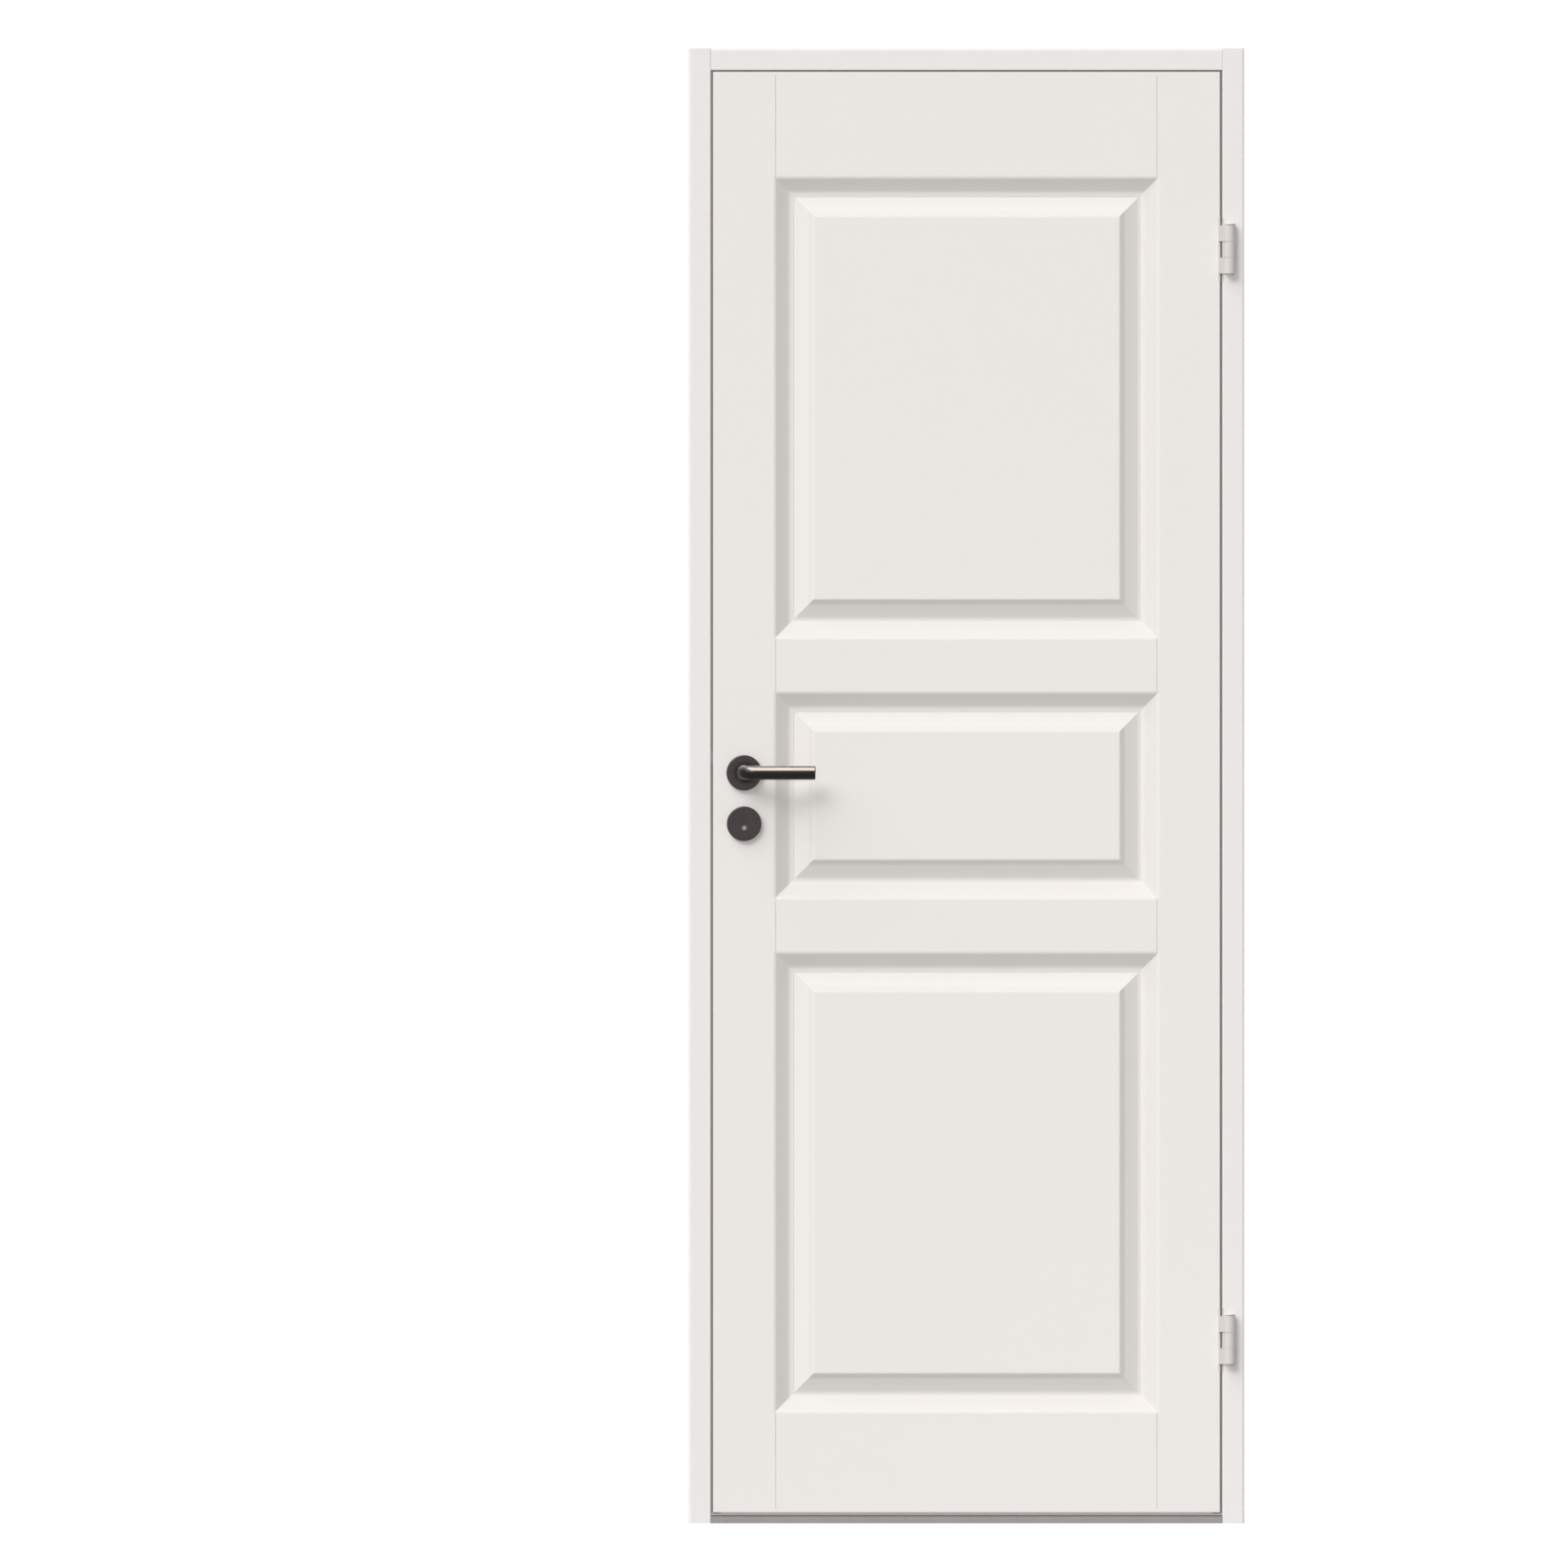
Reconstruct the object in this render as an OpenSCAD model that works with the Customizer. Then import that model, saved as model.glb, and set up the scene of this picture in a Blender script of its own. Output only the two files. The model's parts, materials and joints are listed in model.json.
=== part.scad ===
// Interior door with three raised panels, hung in its frame.
// X runs to the right, Y runs away from the viewer, Z runs up.
// The origin is on the floor, below the middle of the leaf.

/* [Door frame] */
// Width of the frame over its jambs
frame_w = 785; // [685:10:1085]
// Height of the frame from the floor
frame_h = 2085; // [1885:10:2385]
// Depth of the frame through the wall
frame_d = 92; // [80:1:130]
// Thickness of the jambs and the head beside the leaf
jamb_t = 31; // [22:1:36]
// How far the stop stands out behind the leaf
stop_t = 15; // [12:1:20]
// Gap that the seal closes between the leaf and the stop
stop_gap = 4; // [3:0.5:6]
// Rounding of the frame's outer front edges
frame_round = 3; // [2:0.5:8]
// Height of the threshold
threshold_h = 12; // [8:1:13]

/* [Leaf] */
// Thickness of the leaf
leaf_t = 40; // [38:1:46]
// Gap between the leaf and each jamb
leaf_gap = 3; // [2:0.5:4]
// Gap between the leaf and the head
head_gap = 2; // [1.5:0.5:4]
// Gap below the leaf, down to the floor
floor_gap = 15; // [14:1:20]
// Rounding of the leaf's edges
leaf_round = 1.6; // [0.5:0.1:2.5]

/* [Rails and panels] */
// Width of each stile
stile_w = 89; // [85:0.5:130]
// Height of the top rail
top_rail_h = 151; // [110:1:200]
// Height of each rail between two panels
mid_rail_h = 80; // [70:1:130]
// Height of the bottom rail
bottom_rail_h = 144; // [110:1:240]
// Height of the middle panel over its moulding
middle_panel_h = 288; // [200:1:420]
// How far the middle of that panel stands above the middle of the lock
middle_panel_rise = 4; // [0:1:12]
// Width of the moulding round each panel, inside the edges of the stiles and rails
moulding_w = 25; // [22:1:35]
// How far the moulding also cuts into their faces
moulding_set = 4.5; // [0:0.5:8]
// Depth of the moulding at its lowest line
moulding_depth = 13; // [9:0.5:13.5]
// Rounding where the moulding leaves the face
moulding_round = 11; // [5:1:12]
// Hollow at the moulding's foot
moulding_cove = 17; // [8:1:18]
// Width of the bevel round each panel's field
bevel_w = 30; // [24:1:45]
// Width of the bevel's steep slope beside the field
bevel_shoulder_w = 9; // [7:1:12]
// Depth that this slope reaches
bevel_shoulder_d = 4.6; // [3:0.2:5.4]
// Rounding where the bevel meets the field
bevel_round = 6; // [3:1:7]
// Hollow at the bevel's foot
bevel_cove = 8; // [3:1:12]
// Thickness of the tongue round each panel
tongue_t = 8; // [6:1:10]
// Length of the tongue in its groove
tongue_l = 12; // [8:1:13]
// Width of the line cut where a rail meets a stile
joint_line_w = 1.6; // [1:0.1:4]
// Depth of that line
joint_line_depth = 0.8; // [0.3:0.1:1.5]
// Diameter of the dowels in the rails
dowel_d = 14; // [10:1:16]
// Length of each dowel
dowel_l = 90; // [60:5:110]

/* [Hinges] */
// Distance from the top of the leaf to the middle of the upper hinge
upper_hinge_drop = 251; // [180:1:320]
// Distance from the bottom of the leaf to the middle of the lower hinge
lower_hinge_rise = 244; // [180:1:320]
// Diameter of the hinge knuckles
knuckle_d = 16; // [14:0.5:18]
// How far the knuckles stand beyond the edge of the jamb
hinge_shift = 3; // [0:0.5:5]
// Height of the three knuckles together
knuckle_h = 68; // [54:1:84]
// Diameter of the hinge pins
hinge_pin_d = 8; // [6:0.5:9]
// Thickness of the hinge plates
hinge_plate_t = 2.5; // [2:0.1:3]
// Height of the hinge plates
hinge_plate_h = 90; // [88:1:110]
// How deep the hinge plates reach into the jamb and the leaf
hinge_plate_d = 30; // [26:1:34]

/* [Lock] */
// Distance from the leaf's edge to the handle's axis
backset = 44; // [44:1:52]
// Height of the handle's axis from the floor
handle_z = 1061; // [950:1:1150]
// Distance from the handle's axis down to the turn's axis
lock_centres = 72; // [66:1:90]
// Thickness of the lock case
case_t = 15; // [14:0.5:18]
// Depth of the lock case behind its forend
case_d = 72; // [70:1:80]
// Wall of the lock case and of its cover
case_wall = 1.5; // [1:0.1:2]
// Width of the forend and of the strike plate
forend_w = 20; // [18:1:24]
// Thickness of the forend
forend_t = 3; // [2:0.5:3.5]
// How far the latch stands out of the forend
latch_reach = 11; // [9:0.5:13]
// How far the dead bolt travels
bolt_throw = 14; // [10:0.5:15]
// Thickness of the latch and of the dead bolt
bolt_t = 11; // [8:0.5:11]
// Side of the square spindle between the handles
spindle_a = 8; // [7:0.5:9]
// Side of the square spindle of the turn
turn_spindle_a = 5; // [4:0.5:5]

/* [Handles] */
// Diameter of the lever's round bar
lever_d = 19.5; // [16:0.5:22]
// Distance from the axis to the lever's tip
lever_l = 101; // [90:1:135]
// Distance from the leaf's face to the middle of the bar
lever_stand = 48; // [42:1:60]
// Radius of the bend between the neck and the bar
lever_bend = 16; // [13:0.5:22]
// Diameter of the collar at the rose
collar_d = 21; // [20:0.5:24]
// Diameter of the handle's rose
handle_rose_d = 50; // [50:0.5:56]
// Diameter of the rose at the turn
lock_rose_d = 49; // [49:0.5:56]
// Thickness of the roses
rose_t = 8; // [7:0.5:10]
// Wall of the rose covers
rose_wall = 1.5; // [1:0.1:2]
// Distance between the two bolts of a rose
rose_bolt_centres = 38; // [38:0.5:38.5]
// Diameter of the indicator's window
window_d = 6.8; // [5:0.1:7]
// Distance from the rose's centre down to the window
window_drop = 5.6; // [5.5:0.1:6.5]
// Length of the turn's grip
grip_l = 32; // [26:1:38]
// Thickness of the turn's grip
grip_t = 9; // [7:0.5:12]
// How far the grip stands out of its rose
grip_stand = 20; // [16:1:26]

/* [Frame fixings] */
// Diameter of the adjustable sleeves in the jambs
sleeve_d = 14; // [12:1:18]
// Diameter of the hole through each sleeve
sleeve_bore = 6.2; // [5:0.1:7]
// Length of each sleeve
sleeve_l = 20; // [15:1:22]
// Distance between the highest and the lowest sleeve
outer_sleeve_span = 1400; // [1200:10:1400]
// Distance between the two sleeves nearest the middle
inner_sleeve_span = 460; // [300:10:560]
// Height of the middle of the row of sleeves
sleeve_mid_z = 1030; // [1010:5:1040]

/* [Hidden] */
$fn = 48;

WHITE = [0.91, 0.90, 0.88];
PINE = [0.80, 0.66, 0.46];
GREY = [0.60, 0.60, 0.61];
STEEL = [0.72, 0.72, 0.74];
DARK = [0.20, 0.19, 0.19];

eps = 0.01;
fit = 0.1;
run = 0.05;
loose = 0.3;

// Planes of the frame and the leaf
face_y = leaf_t / 2;
rear_y = frame_d - face_y;
stop_y = face_y + stop_gap;
jamb_x = frame_w / 2 - jamb_t;
stop_x = jamb_x - stop_t;
head_z = frame_h - jamb_t;
leaf_x = jamb_x - leaf_gap;
leaf_top = head_z - head_gap;
leaf_h = leaf_top - floor_gap;
stile_x = leaf_x - stile_w;

// Openings for the panels: the middle one is set by the lock, so that the rails' dowels miss its case
turn_z = handle_z - lock_centres;
middle_panel_z = (handle_z + turn_z) / 2 + middle_panel_rise;
middle_open = [middle_panel_z - middle_panel_h / 2, middle_panel_z + middle_panel_h / 2];
bottom_open = [floor_gap + bottom_rail_h, middle_open[0] - mid_rail_h];
top_open = [middle_open[1] + mid_rail_h, leaf_top - top_rail_h];
openings = [bottom_open, middle_open, top_open];
rail_spans = [
    [floor_gap, bottom_open[0]],
    [bottom_open[1], middle_open[0]],
    [middle_open[1], top_open[0]],
    [top_open[1], leaf_top]
];
panel_play = 0.3;
groove_play = 0.2;
groove_d = tongue_l + 1;
line_inset = 5;
dowel_inset = 30;
dowel_chamfer = [3, 1.5];
arris_r = 1.5;

// Seal: a bulb in front of the stop, on a tongue in a saw cut
seal_r = stop_gap - loose;
seal_tongue = 7;
seal_tongue_t = 2.4;
kerf = seal_tongue_t + 2 * fit;
seal_x = stop_x + stop_t / 2;
seal_inset = jamb_x - seal_x;

// Hinges: the axis stands just in front of the jamb's face, a little beyond its edge
knuckle_r = knuckle_d / 2;
hinge_x = jamb_x + hinge_shift + knuckle_r;
knuckle_clear = 0.5;
hinge_y = -face_y - knuckle_r - knuckle_clear;
face_v = -face_y - hinge_y;
upper_hinge_z = leaf_top - upper_hinge_drop;
lower_hinge_z = floor_gap + lower_hinge_rise;
hinge_zs = [upper_hinge_z, lower_hinge_z];
pin_r = hinge_pin_d / 2;
third = knuckle_h / 3;
washer_t = 1;
pin_head_h = 2.3;
pin_cap_h = 2.4;
neck_overlap = 5;
hinge_screw_pitch = hinge_plate_h / 2 - 13;
hinge_screws = [-hinge_screw_pitch, 0, hinge_screw_pitch];
hinge_screw_y = hinge_plate_d - face_y - 11.4;

// Wood screws: shank, countersunk head, point and cross recess
wood_screw_r = 2;
screw_head_r = 4;
screw_head_h = 2.2;
screw_point_h = 3;
recess = [4.4, 0.8, 1.4];
jamb_screw_l = jamb_t - 6;
leaf_screw_l = 35;
frame_screw_l = 60;
forend_screw_l = 30;

// Lock: axes, case and bolts
lock_x = -leaf_x + backset;
case_x0 = -leaf_x + forend_t;
case_x1 = case_x0 + case_d;
case_below = 32;
case_above = 40;
case_z0 = turn_z - case_below;
case_z1 = handle_z + case_above;
case_y = case_t / 2;
inside_y = case_y - case_wall;
forend_over = 22;
forend_z0 = case_z0 - forend_over;
forend_z1 = case_z1 + forend_over;
forend_screw_zs = [forend_z0 + forend_over / 2, forend_z1 - forend_over / 2];
bolt_y = bolt_t / 2;
tail_y = 3;
latch_rise = 22;
latch_z = handle_z + latch_rise;
latch_h = 18;
latch_tail_h = 6.5;
latch_tab_l = 6;
follower_wall = 5;
follower_r = spindle_a / 2 + follower_wall;
follower_arm = 15;
arm_tip_r = 3;
arm_lead = 0.6;
journal_r = spindle_a / 2 + 3.6;
bolt_below = 8;
bolt_h = 24;
bolt_z0 = turn_z - bolt_below;
bolt_z1 = bolt_z0 + bolt_h;
crank_r = bolt_throw / 2 / sin(45);
crank_pin_r = 2;
crank_arm_t = 2.4;
crank_play = 0.5;
cam_r = turn_spindle_a / 2 + 2.5;
cam_journal_r = turn_spindle_a / 2 + 2;
post_r = 2.2;
rivet_r = post_r - 0.8;
post_inset = 5.5;
case_posts = [
    for (x = [case_x0 + post_inset, case_x1 - post_inset])
        for (z = [case_z0 + post_inset, case_z1 - post_inset]) [x, z]
];
spring_r = 3.2;
spring_wire = 0.5;
spring_turns = 7;
spring_z = latch_z - 4;
spring_stop_h = 8;
spring_stop_t = 2;
latch_back = case_x0 + 9.5;
spring_stop_x = lock_x - 7.5;

// Strike plate in the left jamb
strike_t = 2;
strike_inset = 10;
strike_side = 5;
strike_z0 = forend_z0 + strike_inset;
strike_z1 = forend_z1 - strike_inset;
strike_screw_zs = [strike_z0 + strike_inset, strike_z1 - strike_inset];
strike_y0 = -forend_w / 2 - strike_side;
strike_y1 = forend_w / 2 + strike_side;
pocket_d = bolt_throw + 1;
pocket_play = 1;

// Roses and handles
rose_face = face_y + rose_t;
base_t = rose_t - rose_wall - 0.9;
rose_bolt_r = 2;
rose_sleeve_r = 3;
bolt_head_r = 4;
bolt_head_h = 2;
collar_r = collar_d / 2;
lever_r = lever_d / 2;
bar_y = face_y + lever_stand;
collar_h = 10;
collar_end = rose_face + collar_h;
spindle_reach = 28;
spindle_end = face_y + spindle_reach;
grub_y = rose_face + collar_h / 2;
grub_r = 2.4;
hex_r = 1.4;
indicator_t = 1;
indicator_r = window_drop + window_d / 2 + 2.5;
turn_neck_r = 6;
release_r = 1.3;

// Sleeves along each jamb
sleeve_zs = [
    sleeve_mid_z - outer_sleeve_span / 2, sleeve_mid_z - inner_sleeve_span / 2,
    sleeve_mid_z + inner_sleeve_span / 2, sleeve_mid_z + outer_sleeve_span / 2
];
sleeve_inset = 3;
sleeve_key_d = sleeve_d - 3.92;
sleeve_key_depth = 6;
frame_screw_inset = [24, 22];
frame_screw_ys = [frame_screw_inset[0] - face_y, rear_y - frame_screw_inset[1]];
head_screw_z = frame_h - jamb_t / 2;
threshold_screw_z = threshold_h / 2;

// Extrudes an outline drawn in Y and Z along X
module along_x(x0, x1) {
    translate([x0, 0, 0]) rotate([90, 0, 90]) linear_extrude(x1 - x0) children();
}

// Extrudes an outline drawn in X and Z along Y
module along_y(y0, y1) {
    translate([0, y1, 0]) rotate([90, 0, 0]) linear_extrude(y1 - y0) children();
}

// Extrudes an outline drawn in X and Y along Z
module along_z(z0, z1) {
    translate([0, 0, z0]) linear_extrude(z1 - z0) children();
}

module rod_x(x0, x1, r, y, z) {
    translate([x0, y, z]) rotate([0, 90, 0]) cylinder(h = x1 - x0, r = r);
}

module rod_y(y0, y1, r, x, z) {
    translate([x, y0, z]) rotate([-90, 0, 0]) cylinder(h = y1 - y0, r = r);
}

module block(lo, hi) {
    translate(lo) cube(hi - lo);
}

// Quarter of a circle from angle a0 to a1 about a centre, as points
function arc(c, r, a0, a1, n = 5) =
    [for (i = [0:n]) let (a = a0 + (a1 - a0) * i / n) c + r * [cos(a), sin(a)]];

// Rectangle whose four corners are rounded
function eased(w, d, r) = concat(
    arc([w / 2 - r, d / 2 - r], r, 0, 90),
    arc([r - w / 2, d / 2 - r], r, 90, 180),
    arc([r - w / 2, r - d / 2], r, 180, 270),
    arc([w / 2 - r, r - d / 2], r, 270, 360)
);

// Slope of width w and depth d, as points from [0, 0] to [w, d]: it leaves a flat face in a round of
// radius r, runs straight, and ends flat again in a hollow of radius foot
function slope_angle(w, d, r) = atan2(d - r, w) + asin(r / norm([w, d - r]));
function slope(w, d, r, foot, n = 5) =
    let (angle = slope_angle(w, d, r + foot))
    concat(
        r == 0 ? [[0, 0]] : [for (i = [0:n]) let (a = angle * i / n) [r * sin(a), r * (1 - cos(a))]],
        foot == 0 ? [[w, d]] :
            [for (i = [n:-1:0]) let (a = angle * i / n) [w - foot * sin(a), d - foot * (1 - cos(a))]]
    );

// Screw with a countersunk head and a cross recess. It points along +Z, its head's face at 0
module wood_screw(length) {
    r = wood_screw_r;
    shank = length - screw_point_h;
    difference() {
        union() {
            cylinder(h = screw_head_h, r1 = screw_head_r, r2 = r);
            cylinder(h = shank, r = r);
            translate([0, 0, shank - eps]) cylinder(h = screw_point_h, r1 = r, r2 = r / 5);
        }
        for (a = [0, 90]) rotate(a) translate([-recess.x / 2, -recess.y / 2, -eps]) cube(recess);
    }
}

// Hole that such a screw sits in
module wood_screw_hole(length) {
    translate([0, 0, -1]) cylinder(h = 1 + eps, r = screw_head_r + fit);
    cylinder(h = screw_head_h, r1 = screw_head_r + fit, r2 = wood_screw_r + fit);
    cylinder(h = length + 1, r = wood_screw_r + fit);
}

// Places a screw at x, y and z: side 1 drives it towards +X, side -1 towards -X
module screw_along_x(x, y, z, side) {
    translate([x, y, z]) rotate([0, side * 90, 0]) children();
}

// Frame: section of a jamb in X and Y, for the right side
module jamb_section() {
    outer = frame_w / 2;
    difference() {
        polygon(concat(
            arc([outer - frame_round, frame_round - face_y], frame_round, 360, 270),
            arc([jamb_x + arris_r, arris_r - face_y], arris_r, 270, 180, 3),
            [[jamb_x, stop_y], [stop_x, stop_y], [stop_x, rear_y], [outer, rear_y]]
        ));
        translate([seal_x - kerf / 2, stop_y - eps]) square([kerf, seal_tongue + 0.5]);
    }
}

// Board of a jamb, whose stop ends below the head. Side 1 is the right jamb, side -1 the left
module jamb(side) {
    mirror([side > 0 ? 0 : 1, 0, 0]) difference() {
        along_z(0, frame_h) jamb_section();
        block([stop_x - 1, stop_y, head_z], [jamb_x, rear_y + 1, frame_h + 1]);
    }
}

module jamb_holes(side) {
    outer = frame_w / 2;
    middle = side * (outer + jamb_x) / 2;
    for (z = sleeve_zs) rod_x(middle - jamb_t, middle + jamb_t, sleeve_d / 2 + fit, 0, z);
    for (y = frame_screw_ys) {
        screw_along_x(side * outer, y, head_screw_z, -side) wood_screw_hole(frame_screw_l);
        screw_along_x(side * outer, y, threshold_screw_z, -side) wood_screw_hole(frame_screw_l);
    }
}

module hinge_jamb() {
    color(WHITE) difference() {
        jamb(1);
        jamb_holes(1);
        for (z = hinge_zs) {
            block([jamb_x - 1, -face_y - 1, z - hinge_plate_h / 2],
                [jamb_x + hinge_plate_t, hinge_plate_d - face_y, z + hinge_plate_h / 2]);
            for (dz = hinge_screws)
                screw_along_x(jamb_x, hinge_screw_y, z + dz, 1) wood_screw_hole(jamb_screw_l);
        }
    }
}

module strike_jamb() {
    color(WHITE) difference() {
        jamb(-1);
        jamb_holes(-1);
        block([-jamb_x - strike_t, strike_y0, strike_z0], [-jamb_x + 1, strike_y1, strike_z1]);
        strike_pockets(-jamb_x - pocket_d, 1.5);
        for (z = strike_screw_zs) screw_along_x(-jamb_x, 0, z, -1) wood_screw_hole(jamb_screw_l);
    }
}

// Room for the latch and the dead bolt, from x0 to the face of the jamb
module strike_pockets(x0, more) {
    play = pocket_play + more;
    for (span = [[latch_z - latch_h / 2, latch_z + latch_h / 2], [bolt_z0, bolt_z1]])
        block([x0, -bolt_y - play, span[0] - play], [1 - jamb_x, bolt_y + play, span[1] + play]);
}

module strike_plate() {
    color(STEEL) difference() {
        block([-jamb_x - strike_t, strike_y0, strike_z0], [-jamb_x, strike_y1, strike_z1]);
        strike_pockets(-jamb_x - strike_t - 1, 0);
        for (z = strike_screw_zs) screw_along_x(-jamb_x, 0, z, -1) wood_screw_hole(jamb_screw_l);
    }
}

module strike_screws() {
    color(STEEL) for (z = strike_screw_zs)
        screw_along_x(-jamb_x, 0, z, -1) wood_screw(jamb_screw_l);
}

module frame_head() {
    color(WHITE) difference() {
        union() {
            along_x(-jamb_x, jamb_x) polygon(concat(
                arc([frame_round - face_y, frame_h - frame_round], frame_round, 90, 180),
                arc([arris_r - face_y, head_z + arris_r], arris_r, 180, 270, 3),
                [[rear_y, head_z], [rear_y, frame_h]]
            ));
            block([-stop_x, stop_y, head_z - stop_t], [stop_x, rear_y, head_z]);
        }
        block([-stop_x - 1, stop_y - 1, head_z - seal_inset - kerf / 2],
            [stop_x + 1, stop_y + seal_tongue + 0.5, head_z - seal_inset + kerf / 2]);
        for (side = [-1, 1], y = frame_screw_ys)
            screw_along_x(side * frame_w / 2, y, head_screw_z, -side) wood_screw_hole(frame_screw_l);
    }
}

module head_screws() {
    color(STEEL) for (side = [-1, 1], y = frame_screw_ys)
        screw_along_x(side * frame_w / 2, y, head_screw_z, -side) wood_screw(frame_screw_l);
}

module threshold() {
    edge = 3;
    color(GREY) difference() {
        along_x(-jamb_x, jamb_x) polygon([
            [-face_y, 0], [-face_y, threshold_h - edge], [edge - face_y, threshold_h],
            [rear_y - edge, threshold_h], [rear_y, threshold_h - edge], [rear_y, 0]
        ]);
        for (side = [-1, 1]) {
            block([side * (jamb_x + stop_x) / 2 - stop_t / 2, stop_y, -1],
                [side * (jamb_x + stop_x) / 2 + stop_t / 2, rear_y + 1, threshold_h + 1]);
            for (y = frame_screw_ys)
                screw_along_x(side * frame_w / 2, y, threshold_screw_z, -side)
                    wood_screw_hole(frame_screw_l);
        }
    }
}

module threshold_screws() {
    color(STEEL) for (side = [-1, 1], y = frame_screw_ys)
        screw_along_x(side * frame_w / 2, y, threshold_screw_z, -side) wood_screw(frame_screw_l);
}

// Section of the seal: a half-round bulb on a tongue, its back on the stop
module seal_section() {
    intersection() {
        circle(r = seal_r);
        translate([-seal_r, -seal_r]) square([2 * seal_r, seal_r]);
    }
    translate([-seal_tongue_t / 2, -eps]) square([seal_tongue_t, seal_tongue]);
}

module frame_seals() {
    cut = head_z - seal_inset - seal_r;
    color(GREY) {
        for (side = [-1, 1])
            translate([side * seal_x, stop_y, 0]) along_z(threshold_h + fit, cut - 2 * fit) seal_section();
        translate([0, stop_y, head_z - seal_inset])
            along_x(-stop_x + fit, stop_x - fit) rotate(-90) seal_section();
    }
}

// Sleeves that are turned with a key from inside the frame, until they meet the wall
module fixing_sleeves() {
    color(STEEL) for (side = [-1, 1], z = sleeve_zs)
        translate([side * (jamb_x + sleeve_inset), 0, z]) rotate([0, side * 90, 0]) difference() {
            cylinder(h = sleeve_l, d = sleeve_d);
            translate([0, 0, -1]) cylinder(h = sleeve_l + 2, d = sleeve_bore);
            translate([0, 0, -1]) cylinder(h = sleeve_key_depth + 1, d = sleeve_key_d, $fn = 6);
        }
}

// Hinges, drawn about the hinge's own axis with the middle of the knuckles at 0
module at_hinge(z) {
    translate([hinge_x, hinge_y, z]) children();
}

module knuckle(z0, z1, bore_r) {
    difference() {
        union() {
            along_z(z0, z1) circle(r = knuckle_r);
            children();
        }
        along_z(z0 - 1, z1 + 1) circle(r = bore_r);
    }
}

module plate_holes(x, side, z) {
    for (dz = hinge_screws) screw_along_x(x, hinge_screw_y, z + dz, side) wood_screw_hole(jamb_screw_l);
}

// Flat neck from a knuckle to a hinge plate, whose outer side is at u and whose face is at v
module neck(u, v, span) {
    block([u - hinge_plate_t, v - hinge_plate_t, span[0]], [0, v, span[1]]);
    block([u - hinge_plate_t, v - hinge_plate_t, span[0]], [u, face_v + neck_overlap, span[1]]);
}

// Half on the jamb: one knuckle in the middle, and the plate let into the jamb
module frame_hinge(z) {
    span = [-third / 2, third / 2 - washer_t];
    difference() {
        union() {
            at_hinge(z) knuckle(span[0], span[1], pin_r)
                neck(jamb_x + hinge_plate_t - hinge_x, face_v - run, span);
            block([jamb_x, -face_y, z - hinge_plate_h / 2],
                [jamb_x + hinge_plate_t, hinge_plate_d - face_y, z + hinge_plate_h / 2]);
        }
        plate_holes(jamb_x, 1, z);
    }
}

// Half on the leaf: a knuckle above and one below, each carried over the gap by a flat neck
module leaf_hinge(z) {
    difference() {
        union() {
            for (span = [[third / 2, third * 1.5], [-third * 1.5, -third / 2 - loose]])
                at_hinge(z) knuckle(span[0], span[1], pin_r + run)
                    neck(leaf_x - hinge_x, face_v - loose, span);
            block([leaf_x - hinge_plate_t, -face_y, z - hinge_plate_h / 2],
                [leaf_x, hinge_plate_d - face_y, z + hinge_plate_h / 2]);
        }
        plate_holes(leaf_x, -1, z);
    }
}

// Pin with a low domed head; it is pressed into the middle knuckle
module hinge_pin(z) {
    at_hinge(z) rotate_extrude() polygon(concat(
        [[0, -third * 1.5 - pin_head_h]],
        arc([pin_r + 1, pin_head_h / 2 - third * 1.5 - pin_head_h], pin_head_h / 2, -90, 90, 4),
        [[pin_r, -third * 1.5], [pin_r, third * 1.5 + loose]],
        arc([knuckle_r - 1.5, third * 1.5 + loose + pin_cap_h / 2], pin_cap_h / 2, -90, 90, 4),
        [[0, third * 1.5 + loose + pin_cap_h]]
    ));
}

module upper_frame_hinge() { color(WHITE) frame_hinge(upper_hinge_z); }
module lower_frame_hinge() { color(WHITE) frame_hinge(lower_hinge_z); }
module upper_leaf_hinge() { color(WHITE) leaf_hinge(upper_hinge_z); }
module lower_leaf_hinge() { color(WHITE) leaf_hinge(lower_hinge_z); }
module upper_hinge_pin() { color(WHITE) hinge_pin(upper_hinge_z); }
module lower_hinge_pin() { color(WHITE) hinge_pin(lower_hinge_z); }

module hinge_washers() {
    color(STEEL) for (z = hinge_zs) at_hinge(z)
        along_z(third / 2 - washer_t + run, third / 2 - run) difference() {
            circle(r = knuckle_r - 0.5);
            circle(r = pin_r + run);
        }
}

module frame_hinge_screws() {
    color(STEEL) for (z = hinge_zs, dz = hinge_screws)
        screw_along_x(jamb_x, hinge_screw_y, z + dz, 1) wood_screw(jamb_screw_l);
}

module leaf_hinge_screws() {
    color(STEEL) for (z = hinge_zs, dz = hinge_screws)
        screw_along_x(leaf_x, hinge_screw_y, z + dz, -1) wood_screw(leaf_screw_l);
}

// Leaf: the solid that eases every outer edge of the stiles and rails
module leaf_envelope() {
    mid_z = (leaf_top + floor_gap) / 2;
    intersection() {
        along_z(floor_gap - 1, leaf_top + 1) polygon(eased(2 * leaf_x, leaf_t, leaf_round));
        along_x(-leaf_x - 1, leaf_x + 1) translate([0, mid_z]) polygon(eased(leaf_t, leaf_h, leaf_round));
    }
}

// Wood along one side of a panel, with mitred ends and the groove for the panel's tongue. It grows
// along +X and runs up from 0. The moulding is cut from it later, together with the face beside it
module moulding(length) {
    difference() {
        along_y(-face_y, face_y) polygon([
            [0, 0], [moulding_w, moulding_w], [moulding_w, length - moulding_w], [0, length]
        ]);
        block([moulding_w - groove_d, -tongue_t / 2 - groove_play, -1],
            [moulding_w + 1, tongue_t / 2 + groove_play, length + 1]);
    }
}

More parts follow.
